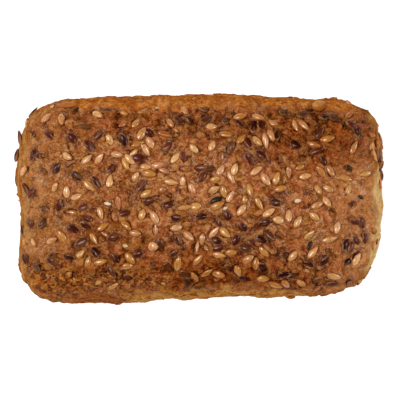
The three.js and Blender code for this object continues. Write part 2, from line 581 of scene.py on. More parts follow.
SPECIAL_TOPPINGS = (
    Landmark(Kind.KERNEL, x=-44.5, y=30.5, z=32, turn=-4, stretch=(1.05, 0.72, 0.9), tint=0.35, sunk=0.0),
    Landmark(Kind.HUSK, x=-41.3, y=28.4, z=34, turn=60, stretch=(1.0, 0.9, 1.2), tint=0.1, sunk=0.0),
    Landmark(Kind.CHIP, x=-49.5, y=30.5, z=32, turn=70, stretch=(0.9, 0.9, 1.0), tint=0.1),
    Landmark(Kind.HUSK, x=-56.5, y=29.5, z=22, turn=25, stretch=(1.3, 0.85, 1.0), tint=0.3, sunk=-0.1),
    Landmark(Kind.GRAIN, x=40.1, y=31.8, z=36, turn=20, sunk=0.0),
    Landmark(Kind.BROWN, x=-61.5, y=21.0, z=22, turn=90, tint=0.3, sunk=-0.3),
    Landmark(Kind.BROWN, x=-61.5, y=14.8, z=24, turn=90, tint=0.2, sunk=-0.3),
    Landmark(Kind.BROWN, x=-57.0, y=14.8, z=36, turn=86, tint=0.4),
    Landmark(Kind.BROWN, x=-62.0, y=6.8, z=20, turn=80, stretch=(1.15, 1.1, 1.0), tint=0.6, sunk=-0.4),
    Landmark(Kind.GOLDEN, x=-58.5, y=9.5, z=32, turn=35, tint=0.8),
    Landmark(Kind.BROWN, x=-19.0, y=13.6, z=44, turn=-15, stretch=(1.15, 1.35, 1.0), tint=0.7, covered=0.3),
    Landmark(Kind.KERNEL, x=-5.2, y=-2.7, turn=8, stretch=(0.7, 0.72, 0.8), tint=0.95, sunk=0.0),
    Landmark(Kind.GOLDEN, x=-1.6, y=-2.3, turn=10, stretch=(0.85, 1.1, 0.8), tint=1.0),
    Landmark(Kind.CHIP, x=-31.5, y=-1.4, turn=-8, stretch=(1.0, 0.85, 1.0), tint=1.0, sunk=-0.1),
    Landmark(Kind.CHIP, x=33.1, y=-0.4, turn=5, stretch=(0.85, 0.9, 1.0), tint=0.6),
    Landmark(Kind.CHIP, x=8.5, y=-3.0, turn=30, stretch=(0.8, 0.7, 0.8), tint=0.7),
    Landmark(Kind.CHIP, x=-25.6, y=-15.8, turn=0, stretch=(0.8, 0.8, 0.8), tint=0.6),
    Landmark(Kind.CHIP, x=-14.4, y=31.2, turn=20, stretch=(0.9, 0.7, 0.8), tint=0.4),
    Landmark(Kind.CHIP, x=-12.7, y=-28.6, turn=0, stretch=(0.8, 0.8, 0.8), tint=0.0),
    Landmark(Kind.HUSK, x=5.6, y=-0.1, turn=20, stretch=(1.2, 1.0, 1.4), tint=0.0, sunk=0.0),
    Landmark(Kind.HUSK, x=-38.6, y=24.9, turn=3, stretch=(1.7, 0.9, 1.0), tint=0.9, sunk=0.0),
    Landmark(Kind.HUSK, x=50.5, y=10.8, turn=-45, stretch=(0.8, 0.8, 1.0), tint=0.2),
    Landmark(Kind.HUSK, x=54.5, y=0.8, turn=-35, stretch=(0.7, 0.7, 1.0), tint=0.2),
    Landmark(Kind.HUSK, x=37.1, y=-15.5, turn=65, stretch=(0.9, 0.6, 1.2), tint=0.1),
    Landmark(Kind.GOLDEN, x=-1.2, y=-15.2, z=44, turn=80, stretch=(0.95, 0.5, 1.0), tint=0.9, tilt=60),
    Landmark(Kind.GOLDEN, x=-16.2, y=-16.0, turn=0, stretch=(0.8, 1.4, 1.0), tint=0.9),
    Landmark(Kind.GOLDEN, x=-11.7, y=22.1, turn=-10, stretch=(1.2, 1.0, 1.0), tint=0.15),
)


SeenSeed = tuple[float, ...]
# The seeds that show most clearly: x, y, turn, tint from dark to light, and any cover of dough
GOLDEN_SEEDS: tuple[SeenSeed, ...] = (
    (-52.3, 27.7, 50, 0.55), (-47.2, 27.2, -80, 0.6), (-45.5, 14.7, -25, 0.9, 0.3),
    (-38.7, 13.6, 40, 0.6, 0.3), (-34.4, 13.9, 50, 0.9), (-37.8, 4.6, -40, 0.9), (-30.9, 6.0, 80, 0.9),
    (-30.9, 20.3, -62, 1), (-35.0, 28.8, -40, 1), (-49.4, 4.2, 60, 0.7), (-45.5, 2.5, 90, 0.9),
    (-42.1, 0.9, 15, 0.7, 0.3), (-34.0, -4.7, -75, 0.8), (-46.8, -13.0, -60, 0.55),
    (-50.5, -14.0, 20, 0.5), (-40.8, -18.6, 45, 0.75), (-38.2, -21.2, 70, 0.6), (-34.0, -21.2, 12, 0.5),
    (-36.3, -13.3, -55, 0.6, 0.2), (-56.8, -14.6, -45, 0.8, 0.3), (-22.1, 25.7, 50, 0.55),
    (-10.3, 26.0, -60, 0.65), (-20.1, 22.3, 60, 0.6), (-21.2, 19.0, 25, 0.3), (-17.1, 19.3, -55, 0.65),
    (-18.6, 16.8, -55, 1), (-28.4, 15.3, -10, 0.6), (-22.9, 15.3, 55, 0.75), (-24.2, 13.6, -45, 0.9),
    (-25.5, 12.2, -70, 0.95), (-18.7, 11.1, -3, 0.7), (-22.2, 7.6, 60, 0.7), (-17.4, 8.8, -8, 0.35),
    (-18.5, 2.0, 30, 0.85), (-8.6, 14.1, 55, 1), (-2.3, 17.3, -40, 1), (-6.0, 6.0, 85, 0.95),
    (-2.9, 3.7, -60, 0.7), (-10.0, 5.9, -8, 0.7), (-5.4, 30.2, -50, 0.6, 0.2), (-19.8, -5.0, 70, 0.9),
    (-15.6, -6.2, -60, 0.6, 0.1), (-8.2, -9.6, 10, 0.65), (-4.0, -12.4, -40, 0.35),
    (0.6, -13.5, 85, 0.6, 0.2), (-22.2, -11.5, -5, 0.5, 0.3), (-23.9, -20.0, -50, 0.6),
    (-24.9, -22.6, 0, 0.75), (-7.7, -21.8, 80, 0.7), (-0.8, -20.4, 50, 0.6), (3.7, 24.7, 10, 1),
    (13.3, 28.1, 10, 0.5), (19.6, 28.1, -20, 0.6, 0.3), (24.9, 25.8, -25, 0.7, 0.1),
    (32.3, 25.1, -70, 0.75), (23.9, 21.8, -65, 0.7, 0.1), (22.1, 19.8, -80, 0.8), (19.3, 19.8, -45, 0.8),
    (13.9, 20.6, 50, 0.4), (3.9, 18.2, 65, 0.9), (8.8, 22.3, -5, 0.3, 0.3), (6.8, 9.9, 60, 0.6),
    (11.6, 10.2, 75, 1), (10.3, 7.6, -60, 0.6), (5.1, 6.8, 12, 0.55), (4.5, 3.3, 25, 0.65),
    (7.9, 2.5, -75, 0.6), (10.1, 0.9, 60, 0.75), (19.1, 9.9, 35, 0.75), (22.2, 6.8, -55, 0.75),
    (25.9, 7.3, 70, 1), (27.3, 3.7, 15, 0.5), (16.8, 3.1, -70, 0.7), (5.7, -2.1, 25, 0.35),
    (14.0, -3.6, 50, 0.9), (19.9, -1.3, -60, 0.8), (23.2, -4.5, 35, 0.85), (26.6, -7.0, -12, 0.9, 0.1),
    (30.0, -5.5, 85, 0.95), (33.1, -7.6, 60, 0.9), (4.6, -11.2, 50, 0.9), (8.2, -11.2, -45, 0.75),
    (6.3, -18.9, -8, 0.8), (10.3, -18.0, 0, 0.5), (16.1, -20.3, 35, 0.5), (18.8, -21.8, 85, 0.4, 0.3),
    (21.6, -17.7, -45, 0.8), (21.3, -26.8, 0, 0.9), (29.0, -28.8, -60, 0.5, 0.3), (12.7, -24.2, -70, 0.9),
    (35.1, 25.2, -45, 0.6), (43.1, 20.6, 12, 0.65), (38.5, 18.6, -15, 0.3), (52.1, 17.6, 65, 0.45),
    (35.7, 7.9, 12, 0.9), (41.1, 9.4, -50, 0.4), (44.2, 9.7, -60, 0.45), (49.2, 7.3, -15, 0.6),
    (40.0, 3.3, -70, 0.7), (43.4, 3.6, -25, 0.6), (50.2, 3.4, 60, 0.8), (42.9, -0.8, -60, 0.85),
    (59.0, 15.0, -60, 0.8), (58.3, 17.5, -75, 0.7, 0.2), (39.7, -1.9, 25, 0.5, 0.1),
    (38.8, -5.8, -40, 0.8, 0.2), (46.4, -9.6, 75, 0.85), (43.8, -13.6, 15, 0.6), (38.2, -18.0, 50, 0.85),
    (37.0, -12.1, 45, 0.6), (45.3, -26.0, -15, 0.7), (53.0, -20.4, 60, 1, 0.1), (31.5, -19.2, 50, 0.9),
    (34.2, -28.5, -30, 0.6, 0.3), (25.5, -29.3, -30, 0.6, 0.3), (61.0, 6.0, 90, 0.4),
)
BROWN_SEEDS: tuple[SeenSeed, ...] = (
    (-51.3, 22.0, -42, 0.7), (-43.7, 20.9, -50, 0.6), (-37.8, 18.3, -45, 0.4), (-34.9, 21.8, 45, 0.8),
    (-48.9, 10.5, 55, 0.3), (-42.1, 8.1, -45, 0.3), (-35.5, 6.2, -55, 0.2), (-57.4, 2.2, 55, 0.7),
    (-59.5, 3.7, 120, 0.9), (-32.1, 30.1, 15, 0.8), (-47.7, -1.9, 85, 0.5), (-40.0, -2.7, 20, 0.9),
    (-38.4, -6.5, -15, 0.6), (-38.9, -8.7, -30, 0.4), (-57.9, -8.1, -65, 0.9), (-53.7, -7.8, 60, 0.15),
    (-43.4, -10.1, -25, 0.1, 0.1), (-40.4, -14.6, 30, 0.6), (-35.7, -18.0, -60, 0.1),
    (-44.5, -19.5, -5, 0), (-55.6, -22.9, -45, 0.1), (-60.2, -10.4, 90, 0.2), (-59.6, -20.1, -70, 0.3),
    (-29.5, -12.9, 12, 0.7), (-26.3, 20.3, -60, 0.1), (-17.6, 22.7, -25, 0.6, 0.3), (-11.0, 18.1, 40, 1),
    (-5.7, 13.8, 50, 1), (-20.1, 4.5, 55, 0.7), (-0.3, 10.8, 5, 0.9), (3.0, 10.4, 0, 0.2, 0.1),
    (-7.4, 26.8, -30, 0.3), (-3.7, 26.6, -50, 0.3), (1.7, 30.6, 40, 0), (2.0, 27.2, 30, 0),
    (-30.3, 10.4, 50, 0.7), (-17.5, -0.4, 15, 0.7), (-25.8, -4.7, 15, 0.8), (-11.0, -1.9, 20, 0.4, 0.2),
    (-8.5, -6.2, 0, 0.4, 0.1), (0.1, -5.8, 10, 0.1), (-21.3, -18.6, 30, 0.5), (-13.6, -14.9, -75, 0, 0.1),
    (-29.0, -20.1, -45, 0.1, 0.1), (-30.3, -24.5, -50, 0.7, 0.1), (-24.6, -26.3, -45, 0.6),
    (-11.1, -23.2, -40, 0.8, 0.1), (-5.2, -25.2, -25, 0.5), (8.5, 26.8, 70, 0.4, 0.2),
    (13.4, 25.8, -30, 0.2, 0.1), (18.1, 24.9, 80, 0.1, 0.1), (20.8, 25.2, -75, 0.4, 0.1),
    (28.6, 29.5, -30, 0.1, 0.1), (26.1, 22.0, 85, 0.1, 0.1), (10.6, 17.9, 70, 1), (16.1, 19.3, -70, 0.9),
    (16.7, 14.4, -50, 0.7, 0.1), (20.5, 15.0, -45, 0.4), (32.2, 18.5, -30, 0, 0.1), (9.1, -5.5, -65, 0.3),
    (14.2, -9.2, -45, 0.3), (25.6, -1.1, -8, 0.1), (21.9, -7.8, 20, 0.2, 0.1), (23.2, -12.1, -45, 0.6),
    (20.5, -13.6, -20, 0.1, 0.1), (12.0, -13.8, 60, 0.5, 0.1), (5.5, -14.0, -20, 0.1),
    (6.0, -16.7, 15, 0.6), (15.3, -16.4, -10, 0.2), (17.3, -15.5, -40, 1, 0.1), (10.0, -23.2, -30, 0.6),
    (14.4, -26.6, -30, 0.4, 0.1), (21.2, -22.9, -50, 0.2, 0.1), (28.9, -18.9, -10, 0.1),
    (28.4, -25.4, 0, 0.05), (31.7, -25.7, 20, 0.1), (34.8, 28.8, 15, 0.2), (42.2, 28.0, 15, 0.1),
    (45.3, 27.7, -20, 0.1), (40.5, 22.6, 55, 0.8), (51.3, 25.5, -25, 0.8), (52.7, 23.4, -50, 0.1),
    (39.4, 16.4, 20, 0.9, 0.1), (60.6, 14.4, -75, 0.3), (61.2, 11.3, -75, 0.2), (52.4, -7.5, -25, 0.8),
    (54.6, -7.8, -70, 0.6), (49.2, -15.2, 65, 0.1), (50.9, -16.3, 75, 0.9), (52.7, -14.0, -45, 0.5, 0.1),
    (42.0, -20.8, 55, 0.4), (49.9, -21.1, 25, 0), (52.7, -19.0, 40, 0.1), (50.6, -28.5, -70, 0.1),
    (45.0, -28.6, 0, 0.6, 0.1), (61.3, 8.2, -60, 0.6),
)


SEED_SUNK = 0.1
SUNK_BY_COVER = 0.5


def landmarks() -> list[Landmark]:
    """Gathers all the toppings with a place of their own.

    Returns:
        The special ones, and then the seeds that show most clearly.
    """
    plain = [(Kind.GOLDEN, seed) for seed in GOLDEN_SEEDS] + [(Kind.BROWN, seed) for seed in BROWN_SEEDS]
    seeds = []
    for kind, (x, y, turn, tint, *cover) in plain:
        covered = sum(cover)
        sunk = SEED_SUNK + covered * SUNK_BY_COVER
        seeds.append(Landmark(kind, x, y, turn, tint=tint, covered=covered, sunk=sunk))
    return list(SPECIAL_TOPPINGS) + seeds


@dataclass
class Sprinkling:
    """All the toppings: those in the photograph's places, the solid's own, and small ones in the gaps."""

    rule: ToppingRule
    random: np.random.Generator
    between: int = 60
    chips: int = 3
    husks: int = 4
    buried: int = 90
    closest: float = 2.2
    tries: int = 9000
    stray: float = 0.3
    small_size: float = 0.92
    small_spread: float = 0.16
    brown_share: float = 0.36
    cover_power: float = 1.5
    buried_cover: Span = (0.35, 1.0)
    hidden_cover: float = 0.95
    sunk_by_cover: Span = (0.45, 0.7)
    tilt_gain: float = 2.4
    near_landmark: float = 3.3
    hump_from: float = 1.0
    hump_rise: float = 2.4
    landmark_tilt: float = 0.2
    landmark_size: float = 1.08
    landmark_spread: float = 0.08
    marks: Array = field(init=False)

    def lay_landmarks(self) -> list[Topping]:
        """Lays the toppings with a place of their own, each tilted and sized a little unevenly.

        Returns:
            The toppings.
        """
        laid = [landmark.topping() for landmark in landmarks()]
        for topping in laid:
            topping.tilt_along += self.random.normal(0, self.landmark_tilt)
            topping.tilt_across += self.random.normal(0, self.landmark_tilt)
            topping.size = self.landmark_size + self.random.uniform(-1, 1) * self.landmark_spread
            topping.covered_from = self.random.uniform(0, 2 * math.pi)
        self.marks = np.array([topping.point[:2] for topping in laid])
        return laid

    def vary(self, topping: Topping) -> None:
        """Settles a topping's kind, tint, cover of dough, depth in the crust and tilt.

        Args:
            topping: One without a place of its own.
        """
        place = topping.point[None, :]
        if topping.kind is Kind.LINSEED:
            brown = self.random.random() < share_at(place, self.brown_share, BROWN_PATCHES)[0]
            topping.kind = Kind.BROWN if brown else Kind.GOLDEN
        topping.tint = self.random.random()
        least = max(share_at(place, 0.0, BURIED_PATCHES)[0], topping.least_covered)
        reach = np.min(np.linalg.norm(self.marks - topping.point[:2], axis=1))
        if reach < self.near_landmark:
            topping.hump = float(np.clip((reach - self.hump_from) / self.hump_rise, 0, 1))
        if reach < self.near_landmark or topping.kind is Kind.KERNEL:
            least = self.hidden_cover
        topping.covered = max(self.random.random() ** self.cover_power, least)
        topping.covered_from = self.random.uniform(0, 2 * math.pi)
        topping.sunk = topping.covered * self.random.uniform(*self.sunk_by_cover)
        topping.tilt_along *= self.tilt_gain
        topping.tilt_across *= self.tilt_gain

    def lay_between(self, wanted: int, kind: Kind, laid: list[Topping], stray: float = 0.0) -> list[Topping]:
        """Lays small toppings in the gaps.

        Args:
            wanted: How many, at most.
            kind: What they are.
            laid: The toppings that lie there already.
            stray: How thickly they lie at least on the upper half of the walls.

        Returns:
            The new toppings.
        """
        draws = self.random.random((self.tries, DRAWS_FOR_EACH_DART))
        points, normals, cover = self.rule.throw(draws)
        strays = np.where(points[:, 2] > self.rule.form.girth_height, stray, 0.0)
        places = np.array([other.point for other in laid])
        added: list[Topping] = []
        for place in np.flatnonzero(draws[:, COVER] <= np.maximum(cover, strays)):
            if len(added) == wanted:
                break
            if np.min(np.linalg.norm(places - points[place], axis=1)) < self.closest:
                continue
            tilts = (2 * draws[place, TILTS] - 1) * self.rule.seed_tilt
            size = self.small_size + self.small_spread * (draws[place, SIZE] - 0.5)
            turn = draws[place, TURN] * 2 * math.pi
            added.append(Topping(kind, points[place], normals[place], turn, tilts[0], tilts[1], size))
            places = np.vstack([places, points[place]])
        return added

    def lay(self) -> dict[Kind, list[Topping]]:
        """Lays everything.

        Returns:
            The toppings, sorted by kind.
        """
        laid = self.rule.lay()
        LOG.info("the solid's own toppings: %d", len(laid))
        laid = laid + self.lay_landmarks()
        for kind, wanted in ((Kind.LINSEED, self.between), (Kind.CHIP, self.chips), (Kind.HUSK, self.husks)):
            laid = laid + self.lay_between(wanted, kind, laid)
        buried = self.lay_between(self.buried, Kind.LINSEED, laid, stray=self.stray)
        for topping in buried:
            topping.least_covered = self.random.uniform(*self.buried_cover)
        by_kind: dict[Kind, list[Topping]] = {}
        for topping in laid + buried:
            if not topping.landmark:
                self.vary(topping)
            by_kind.setdefault(topping.kind, []).append(topping)
        return by_kind


@dataclass
class Crumbling:
    """Crumbs of crust: thickest where the crust is torn, and a few elsewhere."""

    rule: ToppingRule
    random: np.random.Generator
    thrown: int = 6000
    least: float = 0.01
    by_jumble: float = 0.2
    smallest: float = 0.5
    size_spread: float = 1.2
    sunk: float = 0.2

    def lay(self) -> list[Topping]:
        """Lays the crumbs over the seeded part of the crust.

        Returns:
            The crumbs that stayed.
        """
        draws = self.random.random((self.thrown, DRAWS_FOR_EACH_DART))
        points, normals, cover = self.rule.throw(draws)
        thickness = self.least + self.by_jumble * jumble_at(points)
        sizes = self.smallest + self.size_spread * draws[:, SIZE] ** 2
        crumbs = []
        for place in np.flatnonzero(draws[:, COVER] <= cover * thickness):
            angles = draws[place, TURNS] * 2 * math.pi
            crumb = Topping(Kind.CRUMB, points[place], normals[place], *angles, sizes[place], self.sunk)
            crumb.tint = self.random.random()
            crumbs.append(crumb)
        return crumbs


# Shader building


class Wire:
    """A shader socket that grows Math nodes when it is used in an expression."""

    def __init__(self, tree: "Tree", socket: bpy.types.NodeSocket) -> None:
        """Wraps one output socket of a material's tree."""
        self.tree = tree
        self.socket = socket

    def math(self, operation: str, *values: "Wire | float", clamp: bool = False) -> "Wire":
        """Adds one Math node on the given values."""
        inputs = dict(enumerate(values))
        return self.tree.wire("ShaderNodeMath", inputs, operation=operation, use_clamp=clamp)

    def __add__(self, other: "Wire | float") -> "Wire":
        """The sum."""
        return self.math("ADD", self, other)

    __radd__ = __add__

    def __sub__(self, other: "Wire | float") -> "Wire":
        """The difference."""
        return self.math("SUBTRACT", self, other)

    def __rsub__(self, other: float) -> "Wire":
        """The difference, from a number."""
        return self.math("SUBTRACT", other, self)

    def __mul__(self, other: "Wire | float") -> "Wire":
        """The product."""
        return self.math("MULTIPLY", self, other)

    __rmul__ = __mul__

    def clamped(self) -> "Wire":
        """The value, kept from 0 to 1."""
        return self.math("ADD", self, 0.0, clamp=True)

    def near(self, middle: float, reach: float) -> "Wire":
        """A thin line where the value passes the middle, which fades out within the reach on both sides."""
        away = self.math("ABSOLUTE", self - middle)
        return (1 - away * (1 / reach)).clamped()

    def above(self, low: float, high: float) -> "Wire":
        """A mask that rises smoothly from 0 at low to 1 at high."""
        inputs = {"Value": self, "From Min": low, "From Max": high, "To Min": 0.0, "To Max": 1.0}
        return self.tree.wire("ShaderNodeMapRange", inputs, interpolation_type="SMOOTHSTEP")


@dataclass(frozen=True)
class Mask:
    """Where a layer of colour lies, told by the names of the values that it follows.

    It lies where one value passes from the start of the span to its end, or as strongly as the value itself
    where there is no span. Its share may grow with a second value, and it may keep within a third.
    """

    by: str
    span: Span | None = None
    share: float = 1.0
    grows_with: str = ""
    growth: float = 0.0
    within: str = ""

    def wire(self, values: dict[str, Wire]) -> Wire:
        """Works the mask out.

        Args:
            values: The values, by name.

        Returns:
            How strongly the layer lies.
        """
        where = values[self.by].above(*self.span) if self.span else values[self.by]
        share = self.share + values[self.grows_with] * self.growth if self.grows_with else self.share
        return where * share * values[self.within] if self.within else where * share


Layer = tuple[Colour | Wire, Mask]


class Tree:
    """One material's node tree, with a Principled shader at its end and named values for its masks."""

    def __init__(self, name: str) -> None:
        """Makes the material, with coordinates that count in millimetres.

        Args:
            name: What the material is called.
        """
        self.material = bpy.data.materials.new(name)
        self.material.use_nodes = True
        self.tree = self.material.node_tree
        self.shader = self.tree.nodes["Principled BSDF"]
        place = self.wire("ShaderNodeTexCoord", {}, output="Object")
        self.place = self.wire("ShaderNodeMapping", {"Vector": place, "Scale": (1 / MM,) * 3})
        self.values: dict[str, Wire] = {}

    @staticmethod
    def socket_named(sockets: Any, name: str) -> bpy.types.NodeSocket:
        """Finds the socket of that name which the node's settings leave in use."""
        return next(socket for socket in sockets if socket.name == name and socket.enabled)

    def wire(self, kind: str, inputs: dict[Any, Any], output: str = "", **settings: Any) -> Wire:
        """Adds one node and wraps one of its outputs.

        Args:
            kind: The node's type.
            inputs: A value, or a Wire to link, for each socket, by its name or number.
            output: The name of the output, or nothing for the first one in use.
            settings: The node's settings, which are set before its inputs.

        Returns:
            The wrapped output.
        """
        node = self.tree.nodes.new(kind)
        for name, setting in settings.items():
            setattr(node, name, setting)
        for key, value in inputs.items():
            socket = node.inputs[key] if isinstance(key, int) else self.socket_named(node.inputs, key)
            if isinstance(value, Wire):
                self.tree.links.new(value.socket, socket)
            else:
                socket.default_value = value
        if output:
            return Wire(self, node.outputs[output])
        return Wire(self, next(socket for socket in node.outputs if socket.enabled))

    def noise(self, size: float, detail: float = 2.0, rough: float = 0.5, shift: float = 0.0) -> Wire:
        """Noise whose lumps are about that many millimetres across.

        Args:
            size: How large a lump is.
            detail: How many finer octaves it has.
            rough: How strong those are.
            shift: How far off its place the noise is taken, so that two are not alike.

        Returns:
            Its value, from 0 to 1.
        """
        moved = self.wire("ShaderNodeVectorMath", {0: self.place, 1: (shift,) * 3}, operation="ADD")
        inputs = {"Vector": moved, "Scale": 1 / size, "Detail": detail, "Roughness": rough}
        return self.wire("ShaderNodeTexNoise", inputs, output="Fac")

    def drawn_noise(self, widths: tuple[float, float, float]) -> Wire:
        """Noise whose lumps are drawn out.

        Args:
            widths: How many millimetres wide they are along X, Y and Z.

        Returns:
            Its value, from 0 to 1.
        """
        shares = tuple(1 / width for width in widths)
        drawn = self.wire("ShaderNodeVectorMath", {0: self.place, 1: shares}, operation="MULTIPLY")
        return self.wire("ShaderNodeTexNoise", {"Vector": drawn, "Scale": 1.0, "Detail": 1.0}, output="Fac")

    def warped(self, size: float, reach: float) -> Wire:
        """The place, pushed about so that what is laid on it has no regular edges.

        Args:
            size: How wide the waves are that push it.
            reach: How far they push it.

        Returns:
            The pushed place.
        """
        inputs = {"Vector": self.place, "Scale": 1 / size, "Detail": 1.0}
        push = self.wire("ShaderNodeTexNoise", inputs, output="Color")
        centred = self.wire("ShaderNodeVectorMath", {0: push, 1: (0.5,) * 3}, operation="SUBTRACT")
        scaled = self.wire("ShaderNodeVectorMath", {0: centred, "Scale": 2 * reach}, operation="SCALE")
        return self.wire("ShaderNodeVectorMath", {0: self.place, 1: scaled}, operation="ADD")

    def crumbs(self, size: float, reach: float) -> tuple[Wire, Wire]:
        """Uneven crumbs that touch one another.

        Args:
            size: How wide a crumb is.
            reach: How far its edges are pushed about.

        Returns:
            How far each point is from the middle of its crumb, and a tint of each crumb's own from 0 to 1.
        """
        inputs = {"Vector": self.warped(size, reach), "Scale": 1 / size}
        from_middle = self.wire("ShaderNodeTexVoronoi", inputs, output="Distance")
        own = Wire(self, from_middle.socket.node.outputs["Color"])
        return from_middle, self.wire("ShaderNodeSeparateColor", {"Color": own}, output="Red")

    def attribute(self, name: str) -> Wire:
        """One of the piece's own values."""
        return self.wire("ShaderNodeAttribute", {}, output="Fac", attribute_name=name)

    def mix(self, share: Wire, first: Wire | Colour, second: Wire | Colour, blend: str = "MIX") -> Wire:
        """Mixes two colours, from the first at 0 to the second at 1."""
        inputs = {"Factor": share, "A": first, "B": second}
        return self.wire("ShaderNodeMix", inputs, data_type="RGBA", blend_type=blend)

    def layered(self, lowest: Wire | Colour, layers: list[Layer]) -> Wire:
        """Lays layers of colour over one another.

        Args:
            lowest: The colour at the bottom.
            layers: Each layer's colour and mask, from the lowest up.

        Returns:
            The colour on top.
        """
        top = lowest
        for colour, mask in layers:
            top = self.mix(mask.wire(self.values), top, colour)
        return top

    def bump(self, height: Wire, depth: float) -> Wire:
        """Relief in the shading, where a height of 1 stands that many millimetres proud."""
        inputs = {"Height": height, "Distance": depth * MM, "Strength": 1.0}
        return self.wire("ShaderNodeBump", inputs, output="Normal")

    def finish(self, varied: dict[str, Wire], plain: dict[str, float | Colour]) -> bpy.types.Material:
        """Links what changes over the surface, and sets what is the same all over it.

        Args:
            varied: A Wire for each shader socket that it feeds.
            plain: A number or a colour for each shader socket that has one.

        Returns:
            The material.
        """
        for name, value in varied.items():
            self.tree.links.new(value.socket, self.shader.inputs[name])
        for name, number in plain.items():
            self.shader.inputs[name].default_value = number
        return self.material


# The values that each vertex of the crust and of the seeds has of its own, by the names that finishes read
CRUST_VALUES = ("relief", "crumbled", "torn", "painted_shade_by_seed", "browned", "deep", "folded", "under")
WALL_VALUES = ("left_end", "right_end", "back_wall", "front_wall", "end_wall", "right_wall")
SEED_VALUES = ("tint", "cast", "deep", "along", "across", "upright", "rim", "covered")


